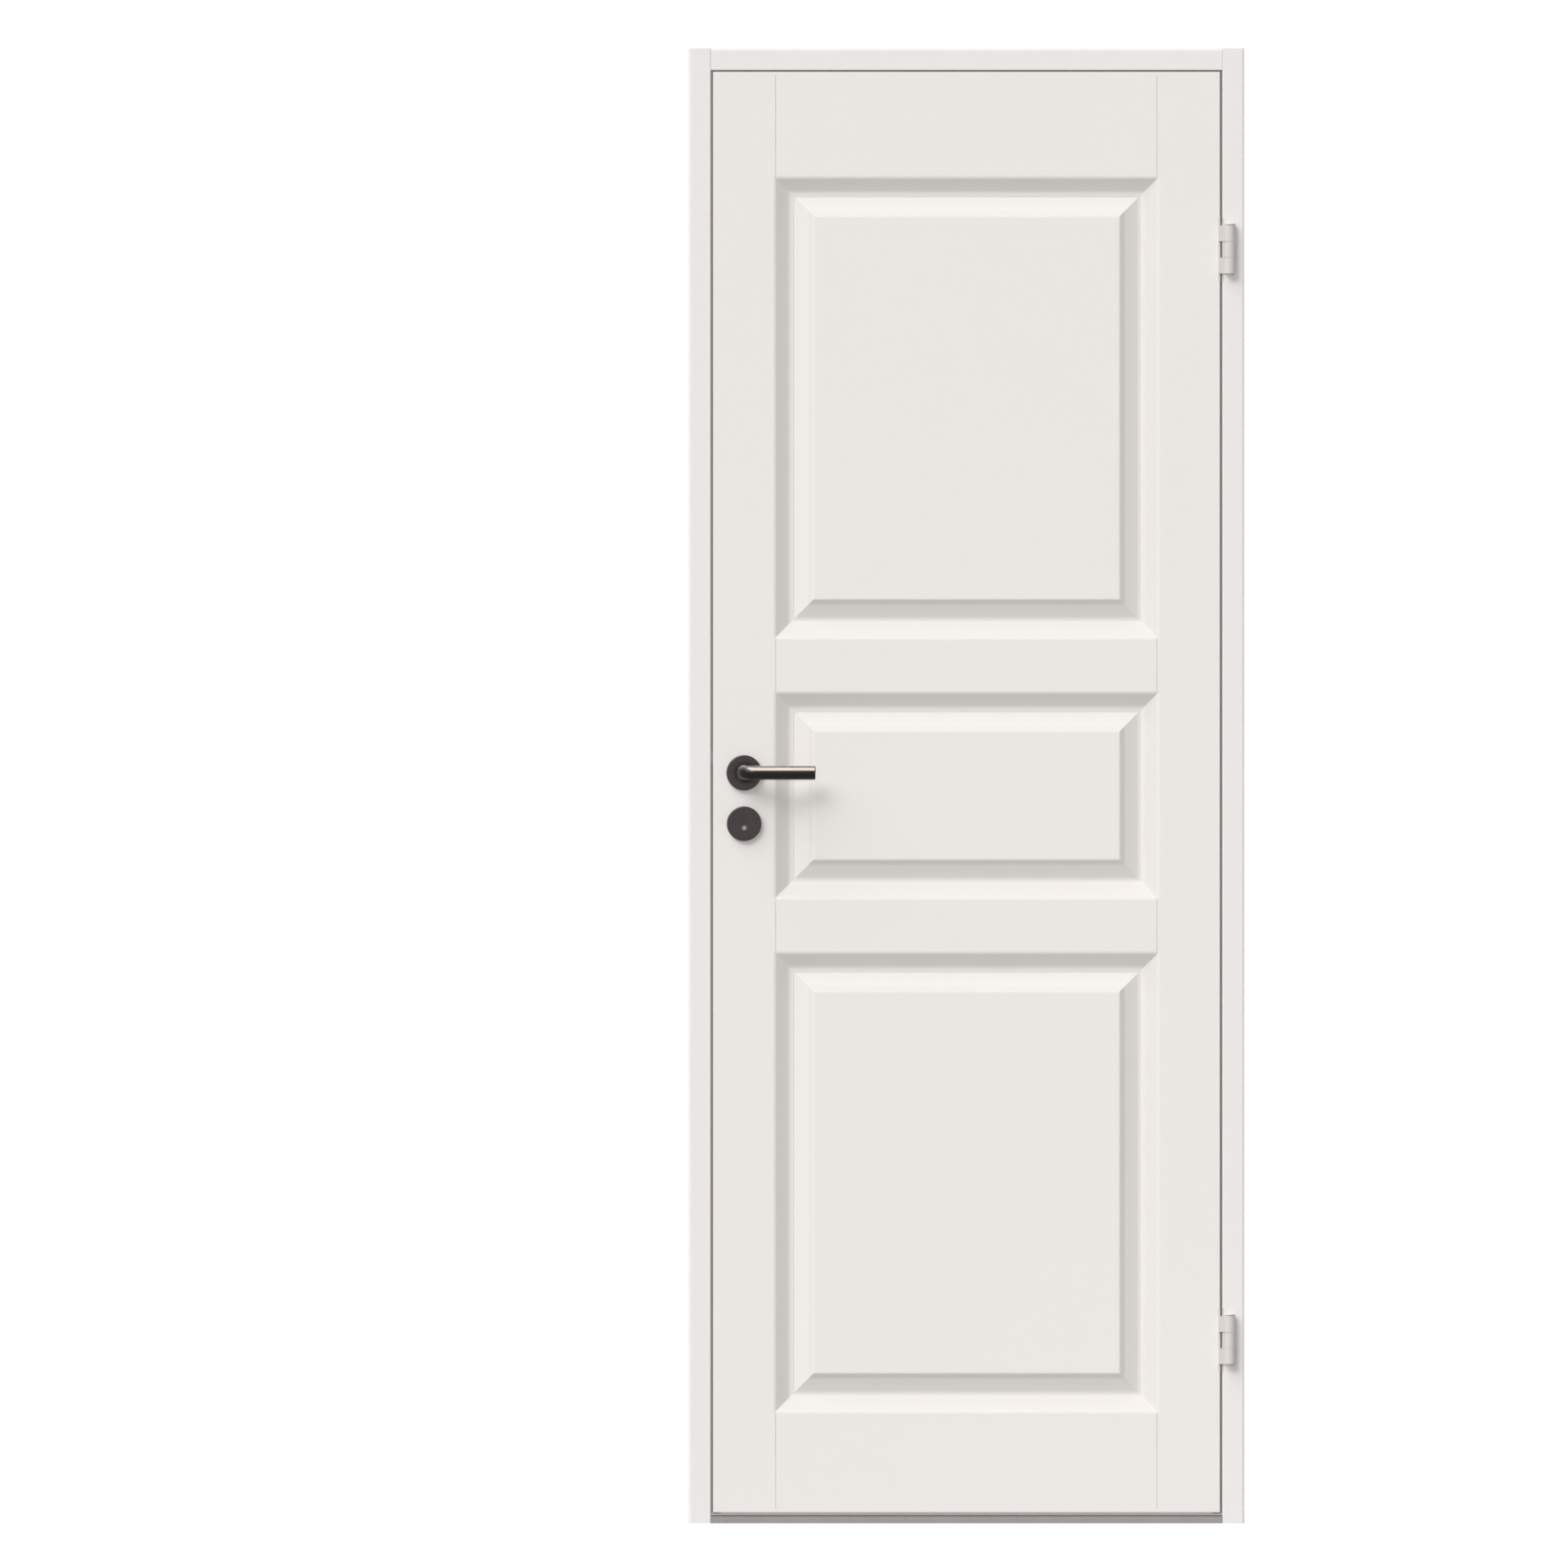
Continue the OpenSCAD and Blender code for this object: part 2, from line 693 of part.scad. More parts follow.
// Section of the recess whose sides are the moulding, for an opening of this half width
function recess_section(half) =
    let (
        down = slope(moulding_w + moulding_set, moulding_depth, moulding_round, moulding_cove),
        edge = half + moulding_set,
        side = concat([[edge, -face_y - 1]], [for (p = down) [edge - p.x, p.y - face_y]]),
        n = len(side)
    )
    concat(side, [for (i = [n - 1:-1:0]) [-side[i].x, side[i].y]]);

// What is cut from both faces of the stiles and rails round each panel
module recesses() {
    for (span = openings, face = [0, 1]) {
        half_h = (span[1] - span[0]) / 2;
        translate([0, 0, (span[0] + span[1]) / 2]) mirror([0, face, 0]) intersection() {
            along_z(-half_h - moulding_set, half_h + moulding_set) polygon(recess_section(stile_x));
            along_x(-stile_x - moulding_set, stile_x + moulding_set)
                polygon([for (p = recess_section(half_h)) [p.y, p.x]]);
        }
    }
}

module stile_mouldings() {
    for (span = openings)
        translate([stile_x, 0, span[0]]) mirror([1, 0, 0]) moulding(span[1] - span[0]);
}

// Moulding on a rail's edge at height z, growing up or down
module rail_moulding(z, up) {
    translate([-stile_x, 0, z]) rotate([0, 90, 0]) mirror([up ? 1 : 0, 0, 0]) moulding(2 * stile_x);
}

// Shallow lines where the rails meet a stile, for the right side
module joint_lines() {
    for (span = rail_spans, face = [-1, 1]) {
        z0 = max(span[0], floor_gap + line_inset);
        z1 = min(span[1], leaf_top - line_inset);
        along_z(z0, z1) polygon([
            [stile_x - joint_line_w / 2, face * (face_y + eps)],
            [stile_x, face * (face_y - joint_line_depth)],
            [stile_x + joint_line_w / 2, face * (face_y + eps)]
        ]);
    }
}

function dowel_zs(span) =
    let (inset = min(dowel_inset, (span[1] - span[0]) / 4)) [span[0] + inset, span[1] - inset];

module dowels(length) {
    for (side = [-1, 1], span = rail_spans, z = dowel_zs(span))
        translate([side * stile_x - length / 2, 0, z]) rotate([0, 90, 0]) children();
}

module dowel_holes() {
    length = dowel_l + 2;
    dowels(length) cylinder(d = dowel_d + 2 * fit, h = length);
}

module rail_dowels() {
    r = dowel_d / 2;
    end_h = dowel_chamfer[0];
    end_r = r - dowel_chamfer[1];
    color(PINE) dowels(dowel_l) {
        cylinder(r1 = end_r, r2 = r, h = end_h);
        translate([0, 0, end_h]) cylinder(r = r, h = dowel_l - 2 * end_h);
        translate([0, 0, dowel_l - end_h]) cylinder(r1 = r, r2 = end_r, h = end_h);
    }
}

module stile() {
    difference() {
        intersection() {
            union() {
                block([stile_x, -face_y, floor_gap], [leaf_x, face_y, leaf_top]);
                stile_mouldings();
            }
            leaf_envelope();
        }
        recesses();
        joint_lines();
        dowel_holes();
    }
}

module hinge_stile() {
    color(WHITE) difference() {
        stile();
        for (z = hinge_zs) {
            block([leaf_x - hinge_plate_t, -face_y - 1, z - hinge_plate_h / 2],
                [leaf_x + 1, hinge_plate_d - face_y, z + hinge_plate_h / 2]);
            for (dz = hinge_screws)
                screw_along_x(leaf_x, hinge_screw_y, z + dz, -1) wood_screw_hole(leaf_screw_l);
        }
    }
}

module lock_stile() {
    color(WHITE) difference() {
        mirror([1, 0, 0]) stile();
        block([case_x0 - eps, -case_y - fit, case_z0 - loose],
            [case_x1 + loose, case_y + fit, case_z1 + loose]);
        forend_outline(-leaf_x - 1, case_x0, fit);
        for (z = [handle_z, turn_z]) {
            rod_y(-face_y - 1, face_y + 1, spindle_hole_r(z), lock_x, z);
            for (side = [-1, 1])
                rod_y(-face_y - 1, face_y + 1, rose_sleeve_r + fit,
                    lock_x + side * rose_bolt_centres / 2, z);
        }
        for (z = forend_screw_zs) screw_along_x(-leaf_x, 0, z, 1) wood_screw_hole(forend_screw_l);
    }
}

function spindle_hole_r(z) = z == handle_z ? spindle_a / 2 + 6 : turn_spindle_a / 2 + 4;

module rail(span) {
    difference() {
        intersection() {
            union() {
                block([-stile_x, -face_y, span[0]], [stile_x, face_y, span[1]]);
                if (span[0] > floor_gap) rail_moulding(span[0], false);
                if (span[1] < leaf_top) rail_moulding(span[1], true);
            }
            leaf_envelope();
        }
        recesses();
        joint_lines();
        mirror([1, 0, 0]) joint_lines();
        dowel_holes();
    }
}

module bottom_rail() { color(WHITE) rail(rail_spans[0]); }
module lower_rail() { color(WHITE) rail(rail_spans[1]); }
module upper_rail() { color(WHITE) rail(rail_spans[2]); }
module top_rail() { color(WHITE) rail(rail_spans[3]); }

// Section of a raised panel, half across and half through: tongue, bevel in two slopes, and field
function panel_half(half) =
    let (
        shoulder = [bevel_shoulder_w, bevel_shoulder_d],
        rest = slope(bevel_w - panel_play - shoulder.x, moulding_depth - shoulder.y, 0, bevel_cove),
        rise = concat(
            slope(shoulder.x, shoulder.y, bevel_round, 0),
            [for (p = rest) if (p.x > 0) p + shoulder]
        ),
        edge = half - moulding_w
    )
    concat(
        [[half - moulding_w + tongue_l, 0], [half - moulding_w + tongue_l, tongue_t / 2]],
        [[edge - panel_play, tongue_t / 2]],
        [for (i = [len(rise) - 1:-1:0]) [edge - bevel_w + rise[i][0], face_y - rise[i][1]]]
    );

function panel_section(half) =
    let (q = panel_half(half), n = len(q))
    concat(
        q,
        [for (i = [n - 1:-1:1]) [-q[i][0], q[i][1]]],
        [for (i = [1:n - 1]) [-q[i][0], -q[i][1]]],
        [for (i = [n - 1:-1:1]) [q[i][0], -q[i][1]]]
    );

module panel(span) {
    half_h = (span[1] - span[0]) / 2;
    translate([0, 0, (span[0] + span[1]) / 2]) intersection() {
        along_z(-half_h, half_h) polygon(panel_section(stile_x));
        along_x(-stile_x, stile_x) polygon([for (p = panel_section(half_h)) [p[1], p[0]]]);
    }
}

module bottom_panel() { color(WHITE) panel(bottom_open); }
module middle_panel() { color(WHITE) panel(middle_open); }
module top_panel() { color(WHITE) panel(top_open); }

// Lock: plate with round ends in the leaf's edge
module forend_outline(x0, x1, play) {
    r = forend_w / 2 + play;
    rod_x(x0, x1, r, 0, forend_z0 + forend_w / 2);
    rod_x(x0, x1, r, 0, forend_z1 - forend_w / 2);
    block([x0, -r, forend_z0 + forend_w / 2], [x1, r, forend_z1 - forend_w / 2]);
}

module bolt_slots(x0, x1) {
    for (span = [[latch_z - latch_h / 2, latch_z + latch_h / 2], [bolt_z0, bolt_z1]])
        block([x0, -bolt_y - loose, span[0] - loose], [x1, bolt_y + loose, span[1] + loose]);
}

module lock_forend() {
    color(STEEL) difference() {
        forend_outline(-leaf_x, case_x0, 0);
        bolt_slots(-leaf_x - 1, case_x0 + 1);
        for (z = forend_screw_zs) screw_along_x(-leaf_x, 0, z, 1) wood_screw_hole(forend_screw_l);
    }
}

module forend_screws() {
    color(STEEL) for (z = forend_screw_zs) screw_along_x(-leaf_x, 0, z, 1) wood_screw(forend_screw_l);
}

// Holes in the case and its cover for the follower, the cam and the roses' bolts
module case_holes() {
    rod_y(-case_y - 1, case_y + 1, journal_r + fit, lock_x, handle_z);
    rod_y(-case_y - 1, case_y + 1, cam_journal_r + fit, lock_x, turn_z);
    for (z = [handle_z, turn_z], side = [-1, 1])
        rod_y(-case_y - 1, case_y + 1, rose_sleeve_r + fit,
            lock_x + side * rose_bolt_centres / 2, z);
}

module lock_case() {
    w = case_wall;
    color(STEEL) {
        difference() {
            block([case_x0, -inside_y, case_z0], [case_x1, case_y, case_z1]);
            block([case_x0 + w, -inside_y - 1, case_z0 + w], [case_x1 - w, inside_y, case_z1 - w]);
            bolt_slots(case_x0 - 1, case_x0 + w + 1);
            case_holes();
        }
        for (p = case_posts) {
            rod_y(-inside_y, inside_y + eps, post_r, p[0], p[1]);
            rod_y(-case_y, -inside_y + eps, rivet_r, p[0], p[1]);
        }
        block([spring_stop_x, -inside_y + fit, spring_z - spring_stop_h / 2],
            [spring_stop_x + spring_stop_t, inside_y + eps, spring_z + spring_stop_h / 2]);
    }
}

module case_cover() {
    color(STEEL) difference() {
        block([case_x0, -case_y, case_z0], [case_x1, -inside_y, case_z1]);
        case_holes();
        for (p = case_posts) rod_y(-case_y - 1, -inside_y + 1, rivet_r + run, p[0], p[1]);
    }
}

// Wire of the spring behind the latch: a ring of points at each step along a helix
module coil_spring(length, r, wire, turns, steps = 14, sides = 6) {
    n = turns * steps;
    rings = [for (i = [0:n], j = [0:sides - 1])
        let (a = 360 * i / steps, b = 360 * j / sides, rr = r + wire * cos(b))
        [length * i / n + wire * sin(b), rr * cos(a), rr * sin(a)]];
    polyhedron(rings, concat(
        [[for (j = [sides - 1:-1:0]) j]],
        [for (i = [0:n - 1], j = [0:sides - 1]) let (k = (j + 1) % sides)
            [i * sides + j, i * sides + k, (i + 1) * sides + k, (i + 1) * sides + j]],
        [[for (j = [0:sides - 1]) n * sides + j]]
    ));
}

module latch_spring() {
    span = spring_stop_x - latch_back - 2 * (spring_wire + fit);
    color(STEEL) translate([latch_back + spring_wire + fit, 0, spring_z])
        coil_spring(span, spring_r, spring_wire, spring_turns);
}

// Latch: a bevelled head, and a tail that passes over the follower's arm and drops behind it
module latch_bolt() {
    tip = -leaf_x - latch_reach;
    tip_t = 2;
    bevel_x = -leaf_x - 0.5;
    tail_z = latch_z + 1.5;
    tab_x = lock_x + arm_tip_r + arm_lead;
    color(STEEL) {
        along_z(latch_z - latch_h / 2, latch_z + latch_h / 2) polygon([
            [tip, -bolt_y], [tip, tip_t - bolt_y], [bevel_x, bolt_y],
            [latch_back, bolt_y], [latch_back, -bolt_y]
        ]);
        block([latch_back - eps, -tail_y, tail_z], [tab_x + latch_tab_l, tail_y, tail_z + latch_tail_h]);
        block([tab_x, -tail_y, handle_z + follower_r + 1], [tab_x + latch_tab_l, tail_y, tail_z + eps]);
    }
}

// Follower on the handles' spindle, with the arm that draws the latch back
module lever_follower() {
    color(STEEL) difference() {
        union() {
            rod_y(-inside_y + loose, inside_y - loose, follower_r, lock_x, handle_z);
            rod_y(-case_y, case_y, journal_r, lock_x, handle_z);
            block([lock_x - arm_tip_r, -tail_y, handle_z],
                [lock_x + arm_tip_r, tail_y, handle_z + follower_arm]);
            rod_y(-tail_y, tail_y, arm_tip_r, lock_x, handle_z + follower_arm);
        }
        square_bar(-case_y - 1, case_y + 1, spindle_a + 2 * run, handle_z);
    }
}

module square_bar(y0, y1, a, z) {
    block([lock_x - a / 2, y0, z - a / 2], [lock_x + a / 2, y1, z + a / 2]);
}

// Cam on the turn's spindle: its pin moves from 45 degrees on one side to 45 degrees on the other
module bolt_cam() {
    color(STEEL) difference() {
        union() {
            rod_y(-inside_y + loose, inside_y - loose, cam_r, lock_x, turn_z);
            rod_y(-case_y, case_y, cam_journal_r, lock_x, turn_z);
            translate([lock_x, 0, turn_z]) rotate([0, 45, 0]) {
                block([-crank_arm_t / 2, -tail_y, 0], [crank_arm_t / 2, tail_y, crank_r]);
                rod_y(-tail_y, tail_y, crank_pin_r, 0, crank_r);
            }
        }
        square_bar(-case_y - 1, case_y + 1, turn_spindle_a + 2 * run, turn_z);
    }
}

// Dead bolt: a block in the forend, and a tail with a slot over the cam's pin
module dead_bolt() {
    head_back = lock_x - rose_bolt_centres / 2 - rose_sleeve_r - 1.5;
    tail_z = turn_z + crank_r * cos(45) - 0.5;
    tail_end = 4;
    slot_x = lock_x + bolt_throw / 2;
    slot_r = crank_pin_r + crank_play;
    slot_top = turn_z + crank_r + crank_pin_r + crank_play;
    color(STEEL) difference() {
        union() {
            block([-leaf_x, -bolt_y, bolt_z0], [head_back, bolt_y, bolt_z1]);
            block([head_back - eps, -tail_y, tail_z], [slot_x + slot_r + tail_end, tail_y, bolt_z1]);
        }
        block([slot_x - slot_r, -tail_y - 1, tail_z - 1], [slot_x + slot_r, tail_y + 1, slot_top]);
    }
}

// Roses: a turned cover over a base that is bolted through the leaf
module rose_cover(r, hole_r) {
    soft = 1.2;
    rotate_extrude() polygon(concat(
        [[hole_r, 0], [r - rose_wall, 0], [r - rose_wall, rose_wall - rose_t], [r, rose_wall - rose_t]],
        arc([r - soft, rose_wall - soft], soft, 0, 90),
        [[hole_r, rose_wall]]
    ));
}

// Sets a piece on the leaf's front face, its +Z pointing out of the door
module on_front(z) {
    translate([lock_x, -face_y, z]) rotate([90, 0, 0]) children();
}

module on_rear(z) {
    mirror([0, 1, 0]) on_front(z) children();
}

module handle_rose() {
    translate([0, 0, rose_t - rose_wall]) rose_cover(handle_rose_d / 2, collar_r + loose);
}

// Base under a rose, with two counterbored bolt holes beside its own bore
module rose_base(rose_r, bore_r) {
    difference() {
        cylinder(h = base_t, r = rose_r - rose_wall - fit);
        translate([0, 0, -1]) cylinder(h = base_t + 2, r = bore_r);
        for (side = [-1, 1]) translate([side * rose_bolt_centres / 2, 0, 0]) {
            translate([0, 0, -1]) cylinder(h = base_t + 2, r = rose_sleeve_r + fit);
            translate([0, 0, base_t - bolt_head_h]) cylinder(h = bolt_head_h + 1, r = bolt_head_r + fit);
        }
    }
}

module front_handle_rose() { color(DARK) on_front(handle_z) handle_rose(); }
module rear_handle_rose() { color(DARK) on_rear(handle_z) handle_rose(); }
module front_handle_base() { color(STEEL) on_front(handle_z) rose_base(handle_rose_d / 2, collar_r + run); }
module rear_handle_base() { color(STEEL) on_rear(handle_z) rose_base(handle_rose_d / 2, collar_r + run); }

module front_lock_rose() {
    color(DARK) on_front(turn_z) difference() {
        translate([0, 0, rose_t - rose_wall]) rose_cover(lock_rose_d / 2, release_r + 0.2);
        translate([0, -window_drop, 0]) cylinder(h = rose_t + 1, d = window_d);
    }
}

module rear_lock_rose() {
    color(DARK) on_rear(turn_z) translate([0, 0, rose_t - rose_wall])
        rose_cover(lock_rose_d / 2, turn_neck_r + loose);
}

// The front base is thinner in the middle, where the indicator turns
module front_lock_base() {
    color(STEEL) on_front(turn_z) difference() {
        rose_base(lock_rose_d / 2, turn_spindle_a / 2 + 3);
        translate([0, 0, base_t - 1]) cylinder(h = 2, r = indicator_r + 1);
    }
}

module rear_lock_base() {
    color(STEEL) on_rear(turn_z) rose_base(lock_rose_d / 2, turn_neck_r + run);
}

module rose_bolt_places() {
    for (z = [handle_z, turn_z], side = [-1, 1])
        translate([lock_x + side * rose_bolt_centres / 2, 0, z]) children();
}

// Bolts from the rear, each in a sleeve from the front
module rose_bolts() {
    head_y = face_y + base_t;
    color(STEEL) rose_bolt_places() difference() {
        union() {
            rod_y(head_y - bolt_head_h, head_y, bolt_head_r, 0, 0);
            rod_y(-face_y + 6, head_y - bolt_head_h + eps, rose_bolt_r, 0, 0);
        }
        translate([-2.5, head_y - 1, -0.5]) cube([5, 2, 1]);
    }
}

module rose_sleeves() {
    head_y = -face_y - base_t;
    color(STEEL) rose_bolt_places() difference() {
        union() {
            rod_y(head_y, head_y + bolt_head_h, bolt_head_r, 0, 0);
            rod_y(head_y + bolt_head_h - eps, face_y - 2, rose_sleeve_r, 0, 0);
        }
        rod_y(-face_y, face_y + 1, rose_bolt_r + run, 0, 0);
    }
}

// Lever in front of the leaf: collar, bend and round bar, with a square hole for the spindle
module lever() {
    tip_round = 1.2;
    difference() {
        union() {
            rod_y(-collar_end, -face_y - fit, collar_r, lock_x, handle_z);
            rod_y(-bar_y + lever_bend, -collar_end + 1, lever_r, lock_x, handle_z);
            translate([lock_x + lever_bend, lever_bend - bar_y, handle_z]) rotate(180)
                rotate_extrude(angle = 90) translate([lever_bend, 0]) circle(r = lever_r);
            rod_x(lock_x + lever_bend, lock_x + lever_l - tip_round, lever_r, -bar_y, handle_z);
            translate([lock_x + lever_l - tip_round, -bar_y, handle_z]) rotate([0, 90, 0])
                cylinder(h = tip_round, r1 = lever_r, r2 = lever_r - tip_round);
        }
        square_bar(-spindle_end - 1, -face_y + 1, spindle_a + 2 * run, handle_z);
        translate([lock_x, -grub_y, handle_z - collar_r - 1]) cylinder(h = collar_r + 1, r = grub_r + fit);
    }
}

module front_lever() { color(DARK) lever(); }
module rear_lever() { color(DARK) mirror([0, 1, 0]) lever(); }

module lever_spindle() {
    color(STEEL) square_bar(-spindle_end, spindle_end, spindle_a, handle_z);
}

module grub_screws() {
    length = collar_r - spindle_a / 2 - 1;
    color(DARK) for (side = [-1, 1])
        translate([lock_x, side * grub_y, handle_z - spindle_a / 2 - length - run]) difference() {
            cylinder(h = length, r = grub_r);
            translate([0, 0, -1]) cylinder(h = 3, r = hex_r, $fn = 6);
        }
}

// Turn: the spindle's round front end has a slot for a coin or a screwdriver
module turn_spindle() {
    color(STEEL) {
        square_bar(-rose_face + rose_wall + loose + indicator_t, face_y + grip_stand,
            turn_spindle_a, turn_z);
        difference() {
            rod_y(-rose_face + loose, -rose_face + rose_wall + loose + indicator_t + eps,
                release_r, lock_x, turn_z);
            block([lock_x - 2, -rose_face, turn_z - 0.3], [lock_x + 2, -rose_face + 1, turn_z + 0.3]);
        }
    }
}

module indicator_disc() {
    y0 = -rose_face + rose_wall + loose;
    color([0.9, 0.9, 0.88]) difference() {
        union() {
            rod_y(y0, y0 + indicator_t, indicator_r, lock_x, turn_z);
            rod_y(y0, y0 + indicator_t + 3, turn_spindle_a / 2 + 2.2, lock_x, turn_z);
        }
        square_bar(y0 + indicator_t, y0 + indicator_t + 4, turn_spindle_a + 2 * run, turn_z);
        rod_y(y0 - 1, y0 + indicator_t + 1, release_r + run, lock_x, turn_z);
    }
}

module thumb_turn() {
    grip_end = rose_face + grip_stand;
    color(DARK) difference() {
        union() {
            rod_y(face_y + fit, rose_face + 4, turn_neck_r, lock_x, turn_z);
            intersection() {
                rod_y(rose_face + 3, grip_end, grip_l / 2, lock_x, turn_z);
                block([lock_x - grip_t / 2, 0, turn_z - grip_l],
                    [lock_x + grip_t / 2, grip_end, turn_z + grip_l]);
            }
        }
        square_bar(0, face_y + grip_stand + 1, turn_spindle_a + 2 * run, turn_z);
    }
}

hinge_jamb();
strike_jamb();
frame_head();
threshold();
frame_seals();
fixing_sleeves();
head_screws();
threshold_screws();
strike_plate();
strike_screws();
upper_frame_hinge();
lower_frame_hinge();
upper_hinge_pin();
lower_hinge_pin();
hinge_washers();
frame_hinge_screws();
hinge_stile();
lock_stile();
top_rail();
upper_rail();
lower_rail();
bottom_rail();
top_panel();
middle_panel();
bottom_panel();
rail_dowels();
upper_leaf_hinge();
lower_leaf_hinge();
leaf_hinge_screws();
lock_case();
case_cover();
lock_forend();
forend_screws();
latch_spring();
front_handle_rose();
rear_handle_rose();
front_handle_base();
rear_handle_base();
front_lock_rose();
rear_lock_rose();
front_lock_base();
rear_lock_base();
rose_bolts();
rose_sleeves();
front_lever();
rear_lever();
lever_spindle();
lever_follower();
grub_screws();
latch_bolt();
thumb_turn();
turn_spindle();
bolt_cam();
indicator_disc();
dead_bolt();
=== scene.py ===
# %% [markdown]
# # An interior door in its frame
#
# A white door leaf with three raised panels hangs in a white frame. The modelled solids already
# have their true size and place, so this lesson is about the finish: satin paint, dark plated
# handles, a grey metal threshold, and the soft light that makes the mouldings readable.

# %% Load the modelled door
import json
import math

import bmesh
import bpy
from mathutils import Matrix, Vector

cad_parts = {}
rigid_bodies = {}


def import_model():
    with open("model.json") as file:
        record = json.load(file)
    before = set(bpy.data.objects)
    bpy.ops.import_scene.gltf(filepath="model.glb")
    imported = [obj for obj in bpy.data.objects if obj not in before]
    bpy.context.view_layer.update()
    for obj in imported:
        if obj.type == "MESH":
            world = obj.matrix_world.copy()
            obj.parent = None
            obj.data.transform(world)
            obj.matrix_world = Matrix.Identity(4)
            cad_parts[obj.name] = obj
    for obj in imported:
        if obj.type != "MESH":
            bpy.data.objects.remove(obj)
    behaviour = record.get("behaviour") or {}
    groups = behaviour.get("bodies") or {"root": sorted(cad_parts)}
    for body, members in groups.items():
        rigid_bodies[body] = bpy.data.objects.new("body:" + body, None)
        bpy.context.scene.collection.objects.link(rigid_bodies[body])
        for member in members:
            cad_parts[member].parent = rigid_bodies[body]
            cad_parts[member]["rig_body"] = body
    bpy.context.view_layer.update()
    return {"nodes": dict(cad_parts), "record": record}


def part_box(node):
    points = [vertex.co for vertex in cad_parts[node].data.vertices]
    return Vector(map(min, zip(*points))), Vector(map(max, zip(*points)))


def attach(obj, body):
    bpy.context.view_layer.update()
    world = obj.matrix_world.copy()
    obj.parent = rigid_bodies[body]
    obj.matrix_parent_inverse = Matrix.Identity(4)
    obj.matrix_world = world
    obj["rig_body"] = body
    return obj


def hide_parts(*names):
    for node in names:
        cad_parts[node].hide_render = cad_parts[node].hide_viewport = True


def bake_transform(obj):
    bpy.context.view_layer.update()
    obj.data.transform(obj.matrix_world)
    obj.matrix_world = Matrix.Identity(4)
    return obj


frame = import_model()
nodes = frame["nodes"]

# %% Adding an object
scene = bpy.context.scene


def add_object(name, data):
    """Puts a mesh, a light or a camera into the scene."""
    item = bpy.data.objects.new(name, data)
    scene.collection.objects.link(item)
    return item


# %% [markdown]
# ## The camera
#
# The jambs show no inner face and both gaps look alike, so the picture was taken straight on with a
# very long lens. An orthographic camera draws the same thing: every ray runs along the depth of the
# door. The object sits right of the middle of the picture, so the camera stands left of it.

# %% Camera
PHOTO_SIDE = 1649
DOOR_MIDDLE_PX = (1016.5, 826.5)
FRAME_HEIGHT_PX = 1551.0
CAMERA_AWAY = 8.0
CAMERA_REACH = 100.0

door_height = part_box("hinge_jamb")[1].z
metres_per_px = door_height / FRAME_HEIGHT_PX
camera_data = bpy.data.cameras.new("camera")
camera_data.type = "ORTHO"
camera_data.ortho_scale = PHOTO_SIDE * metres_per_px
camera_data.clip_end = CAMERA_REACH
camera = add_object("camera", camera_data)
left_of_door = (DOOR_MIDDLE_PX[0] - PHOTO_SIDE / 2) * metres_per_px
above_middle = (DOOR_MIDDLE_PX[1] - PHOTO_SIDE / 2) * metres_per_px
camera.location = (-left_of_door, -CAMERA_AWAY, door_height / 2 + above_middle)
camera.rotation_euler = (math.radians(90), 0, 0)
scene.camera = camera
print("one pixel of the picture is", round(1000 * metres_per_px, 3), "mm")

# %% [markdown]
# ## Light, sky and floor
#
# The slopes of the mouldings that face up are bright and those that face down grey, a little more so
# from top to bottom than from left to right, yet the lever throws only a faint soft shadow. That asks
# for a very large soft light high on the left, such as a pale room gives back, and for a smaller part
# from a narrower one, such as a window. The gaps around the leaf are pale down to their bottom, so
# some light also comes almost straight from the front. It leaves no highlight, as none shows on the
# flat roses. A plain sky fills the shadows.
#
# Behind the door a fourth light keeps the rear side from going dull. It is low, so it hardly lights
# the floor, and the shadow that the door throws to the front stays faint. All four are suns, which
# light the whole height evenly.
#
# Rays that come from the camera, a mirror or glass see a white sky and a pale floor, so metal shows
# them too. Other rays see a darker floor, as a real studio floor under a door gives little light back.

# %% Small shader steps


def maths(tree, operation, first, second):
    """One Math node. Each side is a number or a socket."""
    node = tree.nodes.new("ShaderNodeMath")
    node.operation = operation
    for socket, side in zip(node.inputs, (first, second)):
        if isinstance(side, (int, float)):
            socket.default_value = side
        else:
            tree.links.new(side, socket)
    return node.outputs[0]


def two_tones(tree, share, first, second):
    """The first colour where the share is 0, the second where it is 1."""
    mix = tree.nodes.new("ShaderNodeMix")
    mix.data_type = "RGBA"
    mix.inputs["A"].default_value = first
    mix.inputs["B"].default_value = second
    tree.links.new(share, mix.inputs["Factor"])
    return mix.outputs["Result"]


def looking_ray(tree):
    """One for camera, glossy and transmission rays, zero for the rest."""
    light_path = tree.nodes.new("ShaderNodeLightPath")
    total = light_path.outputs["Is Camera Ray"]
    for label in ("Is Glossy Ray", "Is Transmission Ray"):
        total = maths(tree, "MAXIMUM", total, light_path.outputs[label])
    return total


# %% Lights
WINDOW_FROM = Vector((-0.44, -1.00, 0.72))
WINDOW_ANGLE_DEG = 22.0
WINDOW_STRENGTH = 0.62
BOUNCED_FROM = Vector((-0.98, -0.90, 1.40))
BOUNCED_ANGLE_DEG = 56.0
BOUNCED_STRENGTH = 2.20
FRONT_FROM = Vector((0.00, -1.00, 0.028))
FRONT_ANGLE_DEG = 3.0
FRONT_STRENGTH = 0.68
BACK_FROM = Vector((0.50, 0.80, 0.18))
BACK_ANGLE_DEG = 30.0
BACK_STRENGTH = 2.4

scene.view_settings.view_transform = "Standard"


